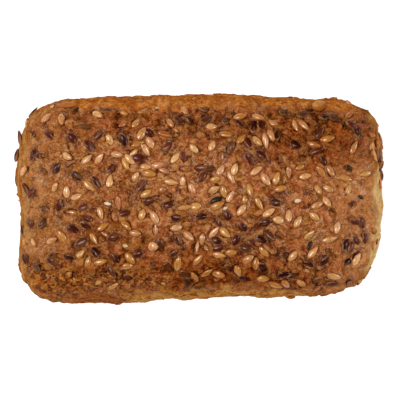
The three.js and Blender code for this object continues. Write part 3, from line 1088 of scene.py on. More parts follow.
@dataclass(frozen=True)
class CrustFinish:
    """Baked crust: reddish brown on top, orange behind, gold in front, with dry crumbs and dark pits of
    painted shade.
    """

    name: str = "baked_crust"
    red_brown: Colour = paint(156, 70, 20)
    tan: Colour = paint(186, 104, 44)
    wheat: Colour = paint(178, 116, 58)
    dark: Colour = paint(74, 22, 0)
    orange: Colour = paint(180, 74, 4)
    ochre: Colour = paint(172, 116, 34)
    plum: Colour = paint(86, 28, 14)
    rosy: Colour = paint(196, 110, 64)
    back: Colour = paint(204, 116, 36)
    back_light: Colour = paint(236, 164, 78)
    golden: Colour = paint(222, 160, 82)
    fold: Colour = paint(218, 142, 64)
    pleat: Colour = paint(206, 166, 98)
    pale: Colour = paint(158, 110, 48)
    right_strip: Colour = paint(242, 200, 134)
    under: Colour = paint(160, 104, 58)
    olive: Colour = paint(132, 88, 16)
    right_tan: Colour = paint(206, 132, 74)
    dry: Colour = paint(238, 170, 108)
    glint: Colour = paint(252, 204, 160)
    mauve: Colour = paint(100, 44, 28)
    crease_shade: Colour = paint(72, 22, 4)
    deep: Colour = (0.64, 0.41, 0.17, 1.0)
    fold_mask: Mask = Mask("fold_line", share=0.25, grows_with="grain", growth=0.7)
    bump_depth: float = 0.85
    roughness: float = 0.62
    glaze: float = 0.34
    glaze_roughness: float = 0.3

    def gather(self, tree: Tree) -> None:
        """Gathers the values that the layers follow: the crust's own, noise of several sizes, and blends.

        Args:
            tree: The material's tree, which keeps them.
        """
        values = {name: tree.attribute(name) for name in CRUST_VALUES + WALL_VALUES}
        values["broad"] = tree.noise(14.0, detail=1.0, shift=3.0)
        values["medium"] = tree.noise(6.0, detail=1.5, shift=31.0)
        values["stains"] = tree.noise(4.0, detail=1.5, shift=57.0)
        values["bruises"] = tree.noise(4.5, shift=73.0)
        values["blush"] = tree.noise(5.0, detail=1.5, shift=91.0)
        values["mottle"] = tree.noise(2.2, shift=11.0)
        values["grain"] = tree.noise(0.8, rough=0.6, shift=23.0)
        values["speckle"] = tree.noise(0.45, detail=1.0, shift=41.0)
        values["swirls"] = tree.noise(2.6, detail=1.0, shift=67.0)
        values["pleats"] = tree.drawn_noise((1.1, 8.0, 3.0))
        values["from_middle"], values["crumb_tint"] = tree.crumbs(size=1.5, reach=0.6)
        mottle = values["mottle"]
        grain = values["grain"]
        end_wall = values["end_wall"]
        ragged = (values["medium"] - 0.5) * 0.9 + (mottle - 0.5) * 0.6
        tree.values = values | {
            "tone": values["broad"] * 0.6 + values["medium"] * 0.4,
            "fine": mottle * 0.6 + grain * 0.4,
            "even": grain * 0.5 + mottle * 0.5,
            "sparks": values["speckle"] * 0.6 + mottle * 0.4,
            "uneven_brown": values["browned"] + (mottle - 0.5) * 1.2,
            "ragged_back": values["back_wall"] + ragged,
            "ragged_front": values["front_wall"] + ragged,
            "ragged_end": end_wall + ragged,
            "ragged_right": values["right_wall"] + ragged * 0.5,
            "left_wall": end_wall * (1 - values["right_wall"]),
            "bare": 1 - values["crumbled"],
            "fold_line": values["swirls"].near(0.5, 0.12).above(0.35, 0.75) * values["folded"],
        }

    def top_layers(self) -> list[Layer]:
        """Lists the colours of the seeded top.

        Returns:
            The layers, from the lowest up.
        """
        return [
            (self.tan, Mask("tone", span=(0.38, 0.62))),
            (self.rosy, Mask("blush", span=(0.48, 0.62), share=0.7)),
            (self.orange, Mask("medium", span=(0.54, 0.66), share=0.5)),
            (self.ochre, Mask("stains", span=(0.54, 0.64), share=0.55)),
            (self.olive, Mask("blush", span=(0.43, 0.33), share=0.4)),
            (self.plum, Mask("bruises", span=(0.52, 0.66), share=0.85)),
            (self.dark, Mask("mottle", span=(0.46, 0.3), share=0.3, grows_with="deep", growth=0.6)),
            (self.wheat, Mask("left_end", share=0.85, grows_with="mottle", growth=-0.4)),
            (self.right_tan, Mask("right_end", share=0.85, grows_with="mottle", growth=-0.5)),
            (self.mauve, Mask("uneven_brown", span=(0.2, 0.7), share=0.55, grows_with="deep", growth=0.3)),
            # Painted shade: darker crust in a ring beside each seed, stronger in the deeper patches
            (self.dark, Mask("painted_shade_by_seed", share=0.5, grows_with="deep", growth=0.4)),
            (self.dry, Mask("crumb_tint", span=(0.7, 0.95), share=0.35, within="torn")),
            (self.dark, Mask("crumb_tint", span=(0.25, 0.02), share=0.35, within="torn")),
            # Paler on the raised bits of the relief: partly dry crust, partly painted highlight on lips and
            # crumbs
            (self.dry, Mask("relief", span=(0.2, 0.9), share=0.4)),
            # Painted shade: darker in the creases and hollows of the mesh relief
            (self.crease_shade, Mask("relief", span=(-0.3, -1.0), share=0.65)),
            (self.dark, Mask("swirls", span=(0.46, 0.36), share=0.55, within="folded")),
            # Paler on the raised grain of the bump: partly dry crumbs, partly painted highlight
            (self.dry, Mask("grain", span=(0.54, 0.66), share=0.3, grows_with="torn", growth=0.3)),
            (self.dark, Mask("grain", span=(0.46, 0.33), share=0.2, grows_with="torn", growth=0.25)),
            (self.dark, Mask("speckle", span=(0.45, 0.34), share=0.12)),
            (self.glint, Mask("sparks", span=(0.54, 0.64), share=0.45, within="crumbled")),
        ]

    def end_layers(self) -> list[Layer]:
        """Lists the colours of the end walls and the underside, which lie over those of the top.

        Returns:
            The layers, from the lowest up.
        """
        return [
            (self.pale, Mask("ragged_end", span=(0.1, 1.1), share=0.75)),
            # Pale band on the right end wall: partly a paler bake, partly painted light on the side that
            # faces the right lamp
            (self.right_strip, Mask("ragged_right", span=(0.0, 0.6), share=0.95)),
            (self.pleat, Mask("pleats", span=(0.52, 0.62), share=0.5, within="end_wall")),
            # Painted shade: darker in the troughs of the pleats on the left end wall
            (self.red_brown, Mask("pleats", span=(0.46, 0.36), share=0.7, within="left_wall")),
            (self.under, Mask("under")),
            (self.red_brown, Mask("fine", span=(0.52, 0.36), share=0.7, within="bare")),
        ]

    def colour(self, tree: Tree) -> Wire:
        """Lays all the colours over one another.

        Args:
            tree: The material's tree.

        Returns:
            The crust's colour.
        """
        on_back = [
            (self.red_brown, Mask("stains", span=(0.45, 0.6), share=0.7)),
            (self.back_light, Mask("fine", span=(0.48, 0.62), share=0.6)),
            (self.red_brown, Mask("grain", span=(0.5, 0.35), share=0.5)),
        ]
        on_front = [(self.red_brown, Mask("even", span=(0.51, 0.43), share=0.65))]
        sides = [
            (tree.layered(self.back, on_back), Mask("ragged_back", span=(0.3, 0.8), share=0.8)),
            (tree.layered(self.golden, on_front), Mask("ragged_front", span=(0.4, 0.9), share=0.9)),
        ]
        colour = tree.layered(self.red_brown, self.top_layers() + sides + self.end_layers())
        # Darker bake and painted shade: the deeper patches multiply the crust's colour down
        colour = tree.mix(tree.values["deep"], colour, self.deep, blend="MULTIPLY")
        return tree.mix(self.fold_mask.wire(tree.values), colour, self.fold)

    def build(self) -> bpy.types.Material:
        """Makes the material.

        Returns:
            The crust's material.
        """
        tree = Tree(self.name)
        self.gather(tree)
        values = tree.values
        crumbs = (1 - values["from_middle"]) * values["torn"]
        pleats = values["pleats"] * values["end_wall"]
        height = values["grain"] * 0.6 + values["mottle"] * 0.4 + crumbs * 0.5 + values["speckle"] * 0.3
        height = height + values["fold_line"] * 0.5 + pleats * 0.9
        glazed = values["medium"].above(0.35, 0.6) * values["crumbled"].above(0.4, 1.0)
        varied = {
            "Base Color": self.colour(tree),
            "Coat Weight": glazed * (1 - values["deep"] * 0.6) * self.glaze,
            "Normal": tree.bump(height, depth=self.bump_depth),
        }
        plain = {
            "Roughness": self.roughness,
            "Specular IOR Level": 0.0,
            "Coat Roughness": self.glaze_roughness,
        }
        return tree.finish(varied, plain)


@dataclass(frozen=True)
class SeedFinish:
    """A seed's skin: a middle, a rim, paler on brown seeds and darker on golden ones, a tint of its own, a
    fine grain, painted highlight streaks and dough baked onto it.
    """

    name: str
    light: Colour
    deep: Colour
    rim: Colour
    rim_share: float
    stain: Colour
    stain_share: float
    roughness: float
    coat: float
    one_cast: Colour | None = None
    other_cast: Colour | None = None
    # Painted highlight: pale streaks along each seed that stand for the gloss on its skin
    streak_highlight: Colour = paint(255, 224, 172)
    streak_highlight_share: float = 0.0
    streaks_across: float = 3.6
    streaks_along: float = 0.8
    streaks_apart: float = 40.0
    dough_light: Colour = paint(188, 112, 52)
    dough_dark: Colour = paint(112, 50, 18)
    dough_speck: Colour = paint(234, 168, 108)
    bake_and_shade_tint: Colour = (0.8, 0.64, 0.34, 1.0)
    sheen: Colour = (1.0, 0.8, 0.6, 1.0)
    bump_depth: float = 0.15
    coat_roughness: float = 0.24
    coat_ior: float = 1.7
    specular: float = 0.04

    def streaks(self, tree: Tree, values: dict[str, Wire]) -> Wire:
        """Fine lines that run along each seed, which differ from seed to seed.

        Args:
            tree: The material's tree.
            values: The seeds' own values.

        Returns:
            Their value, from 0 to 1.
        """
        spread = {
            "X": values["across"] * self.streaks_across,
            "Y": values["along"] * self.streaks_along,
            "Z": values["cast"] * self.streaks_apart,
        }
        place = tree.wire("ShaderNodeCombineXYZ", spread)
        return tree.wire("ShaderNodeTexNoise", {"Vector": place, "Scale": 1.0, "Detail": 1.0}, output="Fac")

    def gather(self, tree: Tree) -> None:
        """Gathers the values that the layers follow: the seeds' own, noise of several sizes, and blends.

        Args:
            tree: The material's tree, which keeps them.
        """
        values = {name: tree.attribute(name) for name in SEED_VALUES}
        edge = values["rim"].above(0.45, 0.95)
        mottle = tree.noise(1.3, shift=7.0)
        grain = tree.noise(0.35, shift=2.0)
        patchy = tree.noise(1.8, detail=3.0, rough=0.6, shift=19.0)
        baked_on = values["covered"] + (patchy - 0.5) * 1.2 + edge * patchy.above(0.5, 0.6) * 0.4
        tree.values = values | {
            "edge": edge,
            "mottle": mottle,
            "grain": grain,
            "streaks": self.streaks(tree, values),
            "speckle": tree.noise(0.55, shift=43.0),
            "tone": (values["tint"] + (mottle - 0.5) * 0.7 - 0.08).clamped(),
            "loaf": patchy * 0.6 + grain * 0.6,
            "doughy": baked_on.above(0.45, 0.65),
        }

    def colour(self, tree: Tree) -> Wire:
        """Lays all the colours over one another.

        Args:
            tree: The material's tree.

        Returns:
            The seeds' colour.
        """
        dough = [
            (self.dough_light, Mask("loaf", span=(0.46, 0.7))),
            (self.dough_speck, Mask("speckle", span=(0.56, 0.66), share=0.6)),
        ]
        less_rim = -0.5 * self.rim_share
        layers = [
            (self.light, Mask("tone")),
            (self.one_cast, Mask("cast", span=(0.35, 0.1), share=0.6)),
            (self.other_cast, Mask("cast", span=(0.55, 0.8), share=0.45)),
            (self.stain, Mask("mottle", span=(0.5, 0.68), share=self.stain_share)),
            # Painted highlight: pale streaks along the seed
            (self.streak_highlight, Mask("streaks", span=(0.5, 0.64), share=self.streak_highlight_share)),
            (tree.layered(self.dough_dark, dough), Mask("doughy", share=0.9)),
            (self.rim, Mask("edge", share=self.rim_share, grows_with="doughy", growth=less_rim)),
        ]
        colour = tree.layered(self.deep, [layer for layer in layers if layer[0] is not None])
        # Darker bake and painted shade: the deeper patches multiply the seeds' colour down
        return tree.mix(tree.values["deep"], colour, self.bake_and_shade_tint, blend="MULTIPLY")

    def build(self) -> bpy.types.Material:
        """Makes the material.

        Returns:
            The seeds' material.
        """
        tree = Tree(self.name)
        self.gather(tree)
        values = tree.values
        grain = values["grain"]
        doughy = values["doughy"]
        height = grain * (0.2 + doughy * 3) + values["streaks"] * 1.1 + values["mottle"] * 0.4
        varied = {
            "Base Color": self.colour(tree),
            "Roughness": self.roughness + (grain - 0.5) * 0.25 + doughy * 0.35,
            "Coat Weight": (1 - doughy) * values["upright"] * self.coat,
            "Normal": tree.bump(height, depth=self.bump_depth),
        }
        plain = {
            "Coat Roughness": self.coat_roughness,
            "Coat IOR": self.coat_ior,
            "Specular IOR Level": self.specular,
            "Specular Tint": self.sheen,
        }
        return tree.finish(varied, plain)


FINISHES: dict[Kind, SeedFinish] = {
    Kind.GOLDEN: SeedFinish(
        name="golden_linseed_skin",
        light=paint(246, 188, 122),
        deep=paint(176, 88, 28),
        # Darker orange rim: partly the seed's own orange edge, partly painted shade where the edge turns from
        # the light
        rim=paint(180, 94, 30),
        rim_share=0.75,
        stain=paint(180, 96, 28),
        stain_share=0.6,
        roughness=0.3,
        coat=0.9,
        one_cast=paint(200, 136, 30),
        other_cast=paint(236, 166, 124),
        streak_highlight_share=0.35,
    ),
    Kind.BROWN: SeedFinish(
        name="brown_linseed_skin",
        light=paint(116, 50, 32),
        deep=paint(54, 12, 12),
        rim=paint(206, 146, 100),
        rim_share=0.5,
        stain=paint(34, 8, 8),
        stain_share=0.5,
        roughness=0.36,
        coat=0.3,
        one_cast=paint(112, 66, 34),
        other_cast=paint(84, 24, 14),
        streak_highlight=paint(176, 118, 80),
        streak_highlight_share=0.3,
        streaks_across=1.8,
    ),
    Kind.KERNEL: SeedFinish(
        name="sunflower_kernel_skin",
        light=paint(214, 150, 84),
        deep=paint(168, 98, 46),
        rim=paint(120, 66, 32),
        rim_share=0.4,
        stain=paint(110, 56, 28),
        stain_share=0.4,
        roughness=0.42,
        coat=0.1,
    ),
    Kind.CHIP: SeedFinish(
        name="pale_chip_skin",
        light=paint(255, 242, 216),
        deep=paint(224, 180, 122),
        rim=paint(248, 226, 190),
        rim_share=0.3,
        stain=paint(200, 150, 100),
        stain_share=0.3,
        roughness=0.4,
        coat=0.1,
    ),
    Kind.HUSK: SeedFinish(
        name="dark_husk_skin",
        light=paint(132, 84, 42),
        deep=paint(46, 36, 26),
        rim=paint(150, 116, 74),
        rim_share=0.25,
        stain=paint(36, 28, 22),
        stain_share=0.5,
        roughness=0.34,
        coat=0.2,
    ),
    Kind.GRAIN: SeedFinish(
        name="amber_grain_skin",
        light=paint(214, 152, 86),
        deep=paint(190, 120, 56),
        rim=paint(150, 84, 30),
        rim_share=0.7,
        stain=paint(236, 196, 128),
        stain_share=0.4,
        roughness=0.3,
        coat=0.5,
    ),
    Kind.CRUMB: SeedFinish(
        name="crust_crumb_skin",
        light=paint(250, 196, 138),
        deep=paint(140, 66, 26),
        rim=paint(232, 168, 108),
        rim_share=0.0,
        stain=paint(90, 42, 18),
        stain_share=0.4,
        roughness=0.6,
        coat=0.0,
    ),
}


# Modelling


def deselect_all() -> None:
    """Leaves object mode with nothing selected, so that the next operator acts on its own piece alone."""
    if bpy.context.object and bpy.context.object.mode != "OBJECT":
        bpy.ops.object.mode_set(mode="OBJECT")
    bpy.ops.object.select_all(action="DESELECT")


def pick(piece: bpy.types.Object, mode: str, wanted: Callable[[Any], bool]) -> None:
    """Selects a piece's vertices, edges or faces in edit mode by a rule.

    Args:
        piece: The piece, which is in edit mode.
        mode: VERT, EDGE or FACE.
        wanted: Says of each one whether it is selected.
    """
    bpy.ops.mesh.select_mode(type=mode)
    bpy.ops.mesh.select_all(action="DESELECT")
    mesh = bmesh.from_edit_mesh(piece.data)
    items = {"VERT": mesh.verts, "EDGE": mesh.edges, "FACE": mesh.faces}[mode]
    for item in items:
        if wanted(item):
            item.select_set(True)
    bmesh.update_edit_mesh(piece.data)


def read_rows(mesh: bpy.types.Mesh, what: str = "co") -> Array:
    """Reads a mesh's vertices.

    Args:
        mesh: The mesh.
        what: co for their places, or normal for their normals.

    Returns:
        One row of three for each vertex.
    """
    flat = np.empty(len(mesh.vertices) * 3)
    mesh.vertices.foreach_get(what, flat)
    return flat.reshape(-1, 3)


def move_to(mesh: bpy.types.Mesh, points: Array) -> None:
    """Moves a mesh's vertices to the given places."""
    mesh.vertices.foreach_set("co", points.ravel())
    mesh.update()


def set_values(mesh: bpy.types.Mesh, values: dict[str, Array]) -> None:
    """Gives a mesh values for each vertex, which its material reads by name.

    Args:
        mesh: The mesh.
        values: One value for each vertex, by name.
    """
    for name, numbers in values.items():
        attribute = mesh.attributes.new(name, "FLOAT", "POINT")
        attribute.data.foreach_set("value", numbers.astype(np.float32))


def dress(piece: bpy.types.Object, material: bpy.types.Material) -> None:
    """Smooths a piece's shading, gives it its material and lets it ride on the roll.

    Args:
        piece: The piece.
        material: Its finish.
    """
    piece.data.polygons.foreach_set("use_smooth", np.ones(len(piece.data.polygons), dtype=bool))
    piece.data.materials.clear()
    piece.data.materials.append(material)
    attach(piece, BODY)


class Pattern(Enum):
    """What the lumps of one layer of relief look like."""

    SOFT = "soft clouds"
    CREASED = "clouds with sharp creases"
    TORN = "crumbs with torn edges"


@dataclass(frozen=True)
class Lumps:
    """One layer of relief: how wide its lumps are and how far they stand, in millimetres."""

    name: str
    pattern: Pattern
    width: float
    height: float
    where: str
    octaves: int = 1
    tearing: float = 0.8

    def texture(self) -> bpy.types.Texture:
        """Makes the texture that raises the layer.

        Returns:
            The texture.
        """
        torn = self.pattern is Pattern.TORN
        texture = bpy.data.textures.new(self.name, "DISTORTED_NOISE" if torn else "CLOUDS")
        texture.noise_scale = self.width * MM
        if torn:
            texture.noise_basis = "VORONOI_F1"
            texture.noise_distortion = "IMPROVED_PERLIN"
            texture.distortion = self.tearing
        else:
            texture.noise_type = "HARD_NOISE" if self.pattern is Pattern.CREASED else "SOFT_NOISE"
            texture.noise_depth = self.octaves
        return texture

    def strength(self) -> float:
        """The strength in metres, which is negative where a texture is darkest in the middle of a lump."""
        return self.height * MM * (-1 if self.pattern is Pattern.TORN else 1)


@dataclass(frozen=True)
class Zones:
    """Where the crust's colours change: spans in millimetres, or in how far the crust faces one way."""

    facing_side: Span = (0.35, 0.7)
    facing_end: Span = (0.35, 0.8)
    facing_right: Span = (0.4, 0.8)
    steep_back: Span = (0.75, 0.4)
    steep_front: Span = (0.5, 0.2)
    steep_end: Span = (0.8, 0.3)
    steep_right: Span = (0.7, 0.2)
    level: Span = (0.35, 0.7)
    off_underside: Span = (-0.1, 0.3)
    underside: Span = (-0.3, -0.9)
    wander_width: float = 5.0
    wander_shift: float = 8.3
    beneath: Span = (19.0, 12.0)
    beneath_wander: float = 2.5
    beneath_on_ends: float = 0.7
    back_band: Span = (29.4, 31.8)
    back_wander: float = 1.6
    back_from_left: Span = (-54.0, -40.0)
    back_to_right: Span = (60.0, 46.0)
    front_strip: Span = (-28.6, -30.8)
    front_wander: float = 1.4
    front_share: float = 0.8
    front_from_left: Span = (-34.0, -22.0)
    front_to_right: Span = (44.0, 32.0)
    left_end: Span = (-28.0, -60.0)
    left_off_front: Span = (-32.0, -14.0)
    left_least: float = 0.3
    right_end: Span = (34.0, 52.0)
    right_off_back: Span = (20.0, 6.0)
    strip_off_front: Span = (-28.0, -16.0)
    strip_off_back: Span = (16.0, 6.0)
    strip_least: float = 0.1
    deep_elsewhere: float = 0.15
    folded_elsewhere: float = 0.2

    def read(self, points: Array, outward: Array) -> dict[str, Array]:
        """Works out which zones each point lies in.

        Args:
            points: The smooth form's points, in millimetres.
            outward: Its normals.

        Returns:
            One value from 0 to 1 for each point, by the names that the finish reads.
        """
        x, y, height = points.T
        to_right, to_back, up = outward.T
        wander = patches(points, self.wander_width, self.wander_shift)
        beneath = ramp(self.beneath, height + wander * self.beneath_wander)

        steep_back = ramp(self.steep_back, up) * ramp(self.facing_side, to_back)
        in_band = ramp(self.back_band, y + wander * self.back_wander)
        off_corners = ramp(self.back_from_left, x) * ramp(self.back_to_right, x)
        behind = np.maximum(steep_back, in_band) * off_corners

        steep_front = ramp(self.steep_front, up) * ramp(self.facing_side, -to_back)
        in_strip = ramp(self.front_strip, y + wander * self.front_wander) * self.front_share
        gilded = ramp(self.front_from_left, x) * ramp(self.front_to_right, x)

        left_share = self.left_least + (1 - self.left_least) * ramp(self.left_off_front, y)
        steep_end = ramp(self.steep_end, up) * ramp(self.facing_end, np.abs(to_right))
        steep_right = ramp(self.steep_right, up) * ramp(self.facing_right, to_right)
        off_sides = ramp(self.strip_off_front, y) * ramp(self.strip_off_back, y)
        strip_share = self.strip_least + (1 - self.strip_least) * off_sides * (1 - beneath)

        deep = share_at(points, self.deep_elsewhere, DARKER_BAKE_AND_SHADE_PATCHES).clip(0, 1)
        folded = share_at(points, self.folded_elsewhere, FOLDED_PATCHES)
        return {
            "deep": deep * ramp(self.level, up) * (1 - behind),
            "folded": folded * ramp(self.off_underside, up),
            "back_wall": np.maximum(behind, beneath),
            "front_wall": np.maximum(steep_front, in_strip) * gilded * (1 - beneath),
            "left_end": ramp(self.left_end, x) * left_share,
            "right_end": ramp(self.right_end, x) * ramp(self.right_off_back, y),
            "end_wall": steep_end * (1 - beneath * self.beneath_on_ends),
            "right_wall": steep_right * strip_share,
            "under": ramp(self.underside, up),
        }


Model = tuple[Array, list[tuple[int, ...]], Array]


@dataclass(frozen=True)
class SeedShape:
    """One seed, modelled once: a flat drop with a blunt end, a pointed end and a soft rim."""

    length: float
    width: float
    thickness: float
    tip: float
    dish: float
    segments: int = 8
    rings: int = 8
    tip_starts: Span = (0.2, 0.7)
    dish_from: float = 0.8
    dish_reach: float = 0.6
    rim_span: Span = (0.55, 0.98)

    def model(self) -> Model:
        """Models the seed and reads it back.

        Returns:
            Its vertices in millimetres, its faces, and how near each vertex is to the rim.
        """
        middle = (0, 0, 0)
        deselect_all()
        bpy.ops.mesh.primitive_uv_sphere_add(segments=self.segments, ring_count=self.rings, radius=1)
        seed = bpy.context.object
        bpy.ops.object.mode_set(mode="EDIT")
        bpy.ops.mesh.select_all(action="SELECT")
        bpy.ops.transform.rotate(value=math.pi / 2, orient_axis="Y", center_override=middle)
        for start in self.tip_starts:
            pick(seed, "VERT", lambda vertex: vertex.co.x > start)
            bpy.ops.transform.resize(value=(1, 1 - self.tip, 1 - self.tip / 2), center_override=middle)
        pick(seed, "VERT", lambda vertex: vertex.co.z > self.dish_from and abs(vertex.co.x) < self.dish_reach)
        bpy.ops.transform.translate(value=(0, 0, -self.dish))
        bpy.ops.mesh.select_all(action="SELECT")
        half = (self.length / 2, self.width / 2, self.thickness / 2)
        bpy.ops.transform.resize(value=half, center_override=middle)
        bpy.ops.object.mode_set(mode="OBJECT")
        points = read_rows(seed.data)
        faces = sorted(tuple(polygon.vertices) for polygon in seed.data.polygons)
        rim = np.hypot(points[:, 0] / half[0], points[:, 1] / half[1])
        bpy.data.objects.remove(seed)
        return points, faces, ramp(self.rim_span, rim)


SHAPES: dict[Kind, tuple[SeedShape, ...]] = {
    Kind.GOLDEN: (
        SeedShape(length=4.6, width=2.5, thickness=1.7, tip=0.16, dish=0.0),
        SeedShape(length=4.9, width=2.2, thickness=1.5, tip=0.22, dish=0.3),
        SeedShape(length=4.3, width=2.4, thickness=1.8, tip=0.08, dish=0.1),
    ),
    Kind.BROWN: (
        SeedShape(length=4.3, width=2.5, thickness=1.7, tip=0.16, dish=0.0),
        SeedShape(length=4.5, width=2.3, thickness=1.5, tip=0.2, dish=0.35),
    ),
    Kind.KERNEL: (SeedShape(length=7.6, width=3.4, thickness=2.0, tip=0.26, dish=0.1),),
    Kind.CHIP: (SeedShape(length=2.4, width=1.5, thickness=0.8, tip=0.15, dish=0.1),),
    Kind.HUSK: (SeedShape(length=3.6, width=1.9, thickness=0.9, tip=0.3, dish=0.2),),
    Kind.GRAIN: (SeedShape(length=4.9, width=4.7, thickness=2.8, tip=0.04, dish=0.1, segments=12),),
    Kind.CRUMB: (SeedShape(length=1.0, width=0.75, thickness=0.7, tip=0.1, dish=0.0, segments=4, rings=4),),
}


def half_sizes(topping: Topping) -> tuple[float, float]:
    """Half of a topping's length and half of its width.

    Args:
        topping: The topping.

    Returns:
        Both, in millimetres.
    """
    shape = SHAPES[topping.kind][0]
    along, across, _ = topping.stretch
    return topping.size * along * shape.length / 2, topping.size * across * shape.width / 2


@dataclass
class Crust:
    """The crust as one closed mesh: a box net drawn onto the form, roughened, with a bed for each seed."""

    form: RollForm
    cuts_along: tuple[int, int] = (8, 40)
    cuts_across: tuple[int, int] = (5, 37)
    cuts_up: tuple[int, int] = (1, 36)
    underside_kept: float = 0.04
    edge_crowding: float = 0.3
    wall_crowding: float = 0.45
    off_table: Span = (0.2, 3.0)
    seeded_up: Span = (0.2, 0.75)
    seeded_least: float = 0.2
    calm_left: Span = (-58.0, -30.0)
    calm_least: float = 0.7
    crust_least: float = 0.08
    jumbled_least: float = 0.06
    weight_steps: int = 20
    layers: tuple[Lumps, ...] = (
        Lumps("rise", Pattern.SOFT, width=9.0, height=1.2, where="crust"),
        Lumps("creases", Pattern.CREASED, width=4.5, height=2.0, where="seeded"),
        Lumps("folds", Pattern.CREASED, width=2.2, height=0.9, where="seeded"),
        Lumps("clods", Pattern.TORN, width=3.2, height=0.8, where="jumbled"),
        Lumps("grains", Pattern.TORN, width=1.6, height=0.3, where="jumbled"),
        Lumps("pores", Pattern.SOFT, width=1.5, height=0.4, where="crust"),
    )
    crown_up: Span = (0.5, 0.95)
    crown_sink: float = 0.6
    drop_height: float = 4.0
    bed_seed: int = 41
    bed_edge: Span = (0.6, 0.98)
    bed_depth: float = 0.55
    bed_least: float = 0.05
    lip_rise: Span = (0.85, 1.13)
    lip_fall: Span = (1.9, 1.13)
    lip_height: float = 0.3
    covered_lip_height: float = 0.8
    lip_range: Span = (0.4, 1.0)
    hump_edge: Span = (1.15, 0.3)
    hump_height: float = 0.9
    hump_range: Span = (0.5, 1.0)
    shade_edge: Span = (1.5, 1.0)
    shade_range: Span = (0.2, 1.0)
    shade_gain: float = 1.4
    stain_edge: Span = (2.4, 1.2)
    widest: float = 2.4
    relief_rounds: int = 24
    full_relief: float = 0.5
    margin: float = 0.05
    piece: bpy.types.Object = field(init=False)
    smooth: Array = field(init=False)
    outward: Array = field(init=False)
    seeded: Array = field(init=False)
    torn: Array = field(init=False)
    painted_shade_by_seed: Array = field(init=False)
    browned: Array = field(init=False)

    def cut(self, axis: int, cells: tuple[int, int]) -> None:
        """Cuts the box into slices across one axis, in two rounds.

        Args:
            axis: 0, 1 or 2, for X, Y or Z.
            cells: How many slices each round makes of every one before it.
        """
        others = [other for other in range(3) if other != axis]
        for count in cells:
            if count < 2:
                continue

            def runs_along(edge: bmesh.types.BMEdge) -> bool:
                """Whether the edge runs along the axis."""
                step = edge.verts[0].co - edge.verts[1].co
                return all(abs(step[other]) < 1e-5 for other in others)

            pick(self.piece, "EDGE", runs_along)
            bpy.ops.mesh.subdivide(number_cuts=count - 1)

    def make_net(self) -> None:
        """Adds the box and cuts it into a fine net, with a coarse one on its underside."""
        deselect_all()
        bpy.ops.mesh.primitive_cube_add(size=2)
        self.piece = bpy.context.object
        self.piece.name = "crust"
        bpy.ops.object.mode_set(mode="EDIT")
        for axis, cells in enumerate((self.cuts_along, self.cuts_across, self.cuts_up)):
            self.cut(axis, cells)
        pick(self.piece, "FACE", lambda face: face.calc_center_median().z < -0.999)
        bpy.ops.mesh.decimate(ratio=self.underside_kept)
        bpy.ops.object.mode_set(mode="OBJECT")

    def draw_onto_form(self) -> None:
        """Draws the net onto the roll's form."""
        net = read_rows(self.piece.data)
        flat = np.clip(net, -1, 1)
        crowded = (1 - self.edge_crowding) * flat + self.edge_crowding * np.sin(np.pi / 2 * flat)
        rise = flat[:, 2]
        crowded[:, 2] = (1 - self.wall_crowding) * rise + self.wall_crowding * np.sin(np.pi / 2 * rise)
        self.smooth = self.form.points(crowded)
        self.outward = self.form.normals(crowded)
        move_to(self.piece.data, self.smooth * MM)

    def weigh(self) -> None:
        """Adds the vertex groups that say where each layer of relief is strong."""
        off_table = ramp(self.off_table, self.smooth[:, 2])
        up = ramp(self.seeded_up, self.outward[:, 2])
        self.seeded = up * (1 - self.seeded_least) + self.seeded_least
        self.torn = jumble_at(self.smooth) * off_table * self.seeded
        off_left = ramp(self.calm_left, self.smooth[:, 0])
        weights = {
            "crust": self.crust_least + (1 - self.crust_least) * off_table,
            "seeded": off_table * self.seeded * (self.calm_least + (1 - self.calm_least) * off_left),
            "jumbled": self.jumbled_least * off_table + (1 - self.jumbled_least) * self.torn,
        }
        for name, weight in weights.items():
            group = self.piece.vertex_groups.new(name=name)
            steps = np.round(weight * self.weight_steps).astype(int)
            for step in range(1, self.weight_steps + 1):
                group.add(np.flatnonzero(steps == step).tolist(), step / self.weight_steps, "REPLACE")

    def roughen(self) -> None:
        """Raises each layer of relief with a Displace modifier, and applies it."""
        deselect_all()
        self.piece.select_set(True)
        bpy.context.view_layer.objects.active = self.piece
        for layer in self.layers:
            displace = self.piece.modifiers.new(layer.name, "DISPLACE")
            displace.texture = layer.texture()
            displace.texture_coords = "LOCAL"
            displace.vertex_group = layer.where
            displace.strength = layer.strength()
            displace.mid_level = 0.5
            bpy.ops.object.modifier_apply(modifier=displace.name)
        sunk = self.crown_sink * ramp(self.crown_up, self.outward[:, 2])
        points = read_rows(self.piece.data)
        move_to(self.piece.data, points - self.outward * sunk[:, None] * MM)

    def settle(self, toppings: list[Topping]) -> None:
        """Moves each topping onto the roughened crust.

        Args:
            toppings: All that lie on it.
        """
        tree = BVHTree.FromObject(self.piece, bpy.context.evaluated_depsgraph_get())
        eye = Vector(EYE.place() * MM)
        for topping in toppings:
            if topping.landmark:
                place = Vector(topping.point * MM)
                seen = tree.ray_cast(eye, place - eye)[0] if topping.seen else None
                nearest = seen or tree.find_nearest(place)[0]
                topping.point = np.array(nearest) / MM
                closest = int(np.argmin(np.linalg.norm(self.smooth - topping.point, axis=1)))
                topping.normal = self.outward[closest]
                continue
            above = Vector((topping.point + topping.normal * self.drop_height) * MM)
            hit, _, _, _ = tree.ray_cast(above, Vector(-topping.normal), 2 * self.drop_height * MM)
            if hit is not None:
                topping.point = np.array(hit) / MM

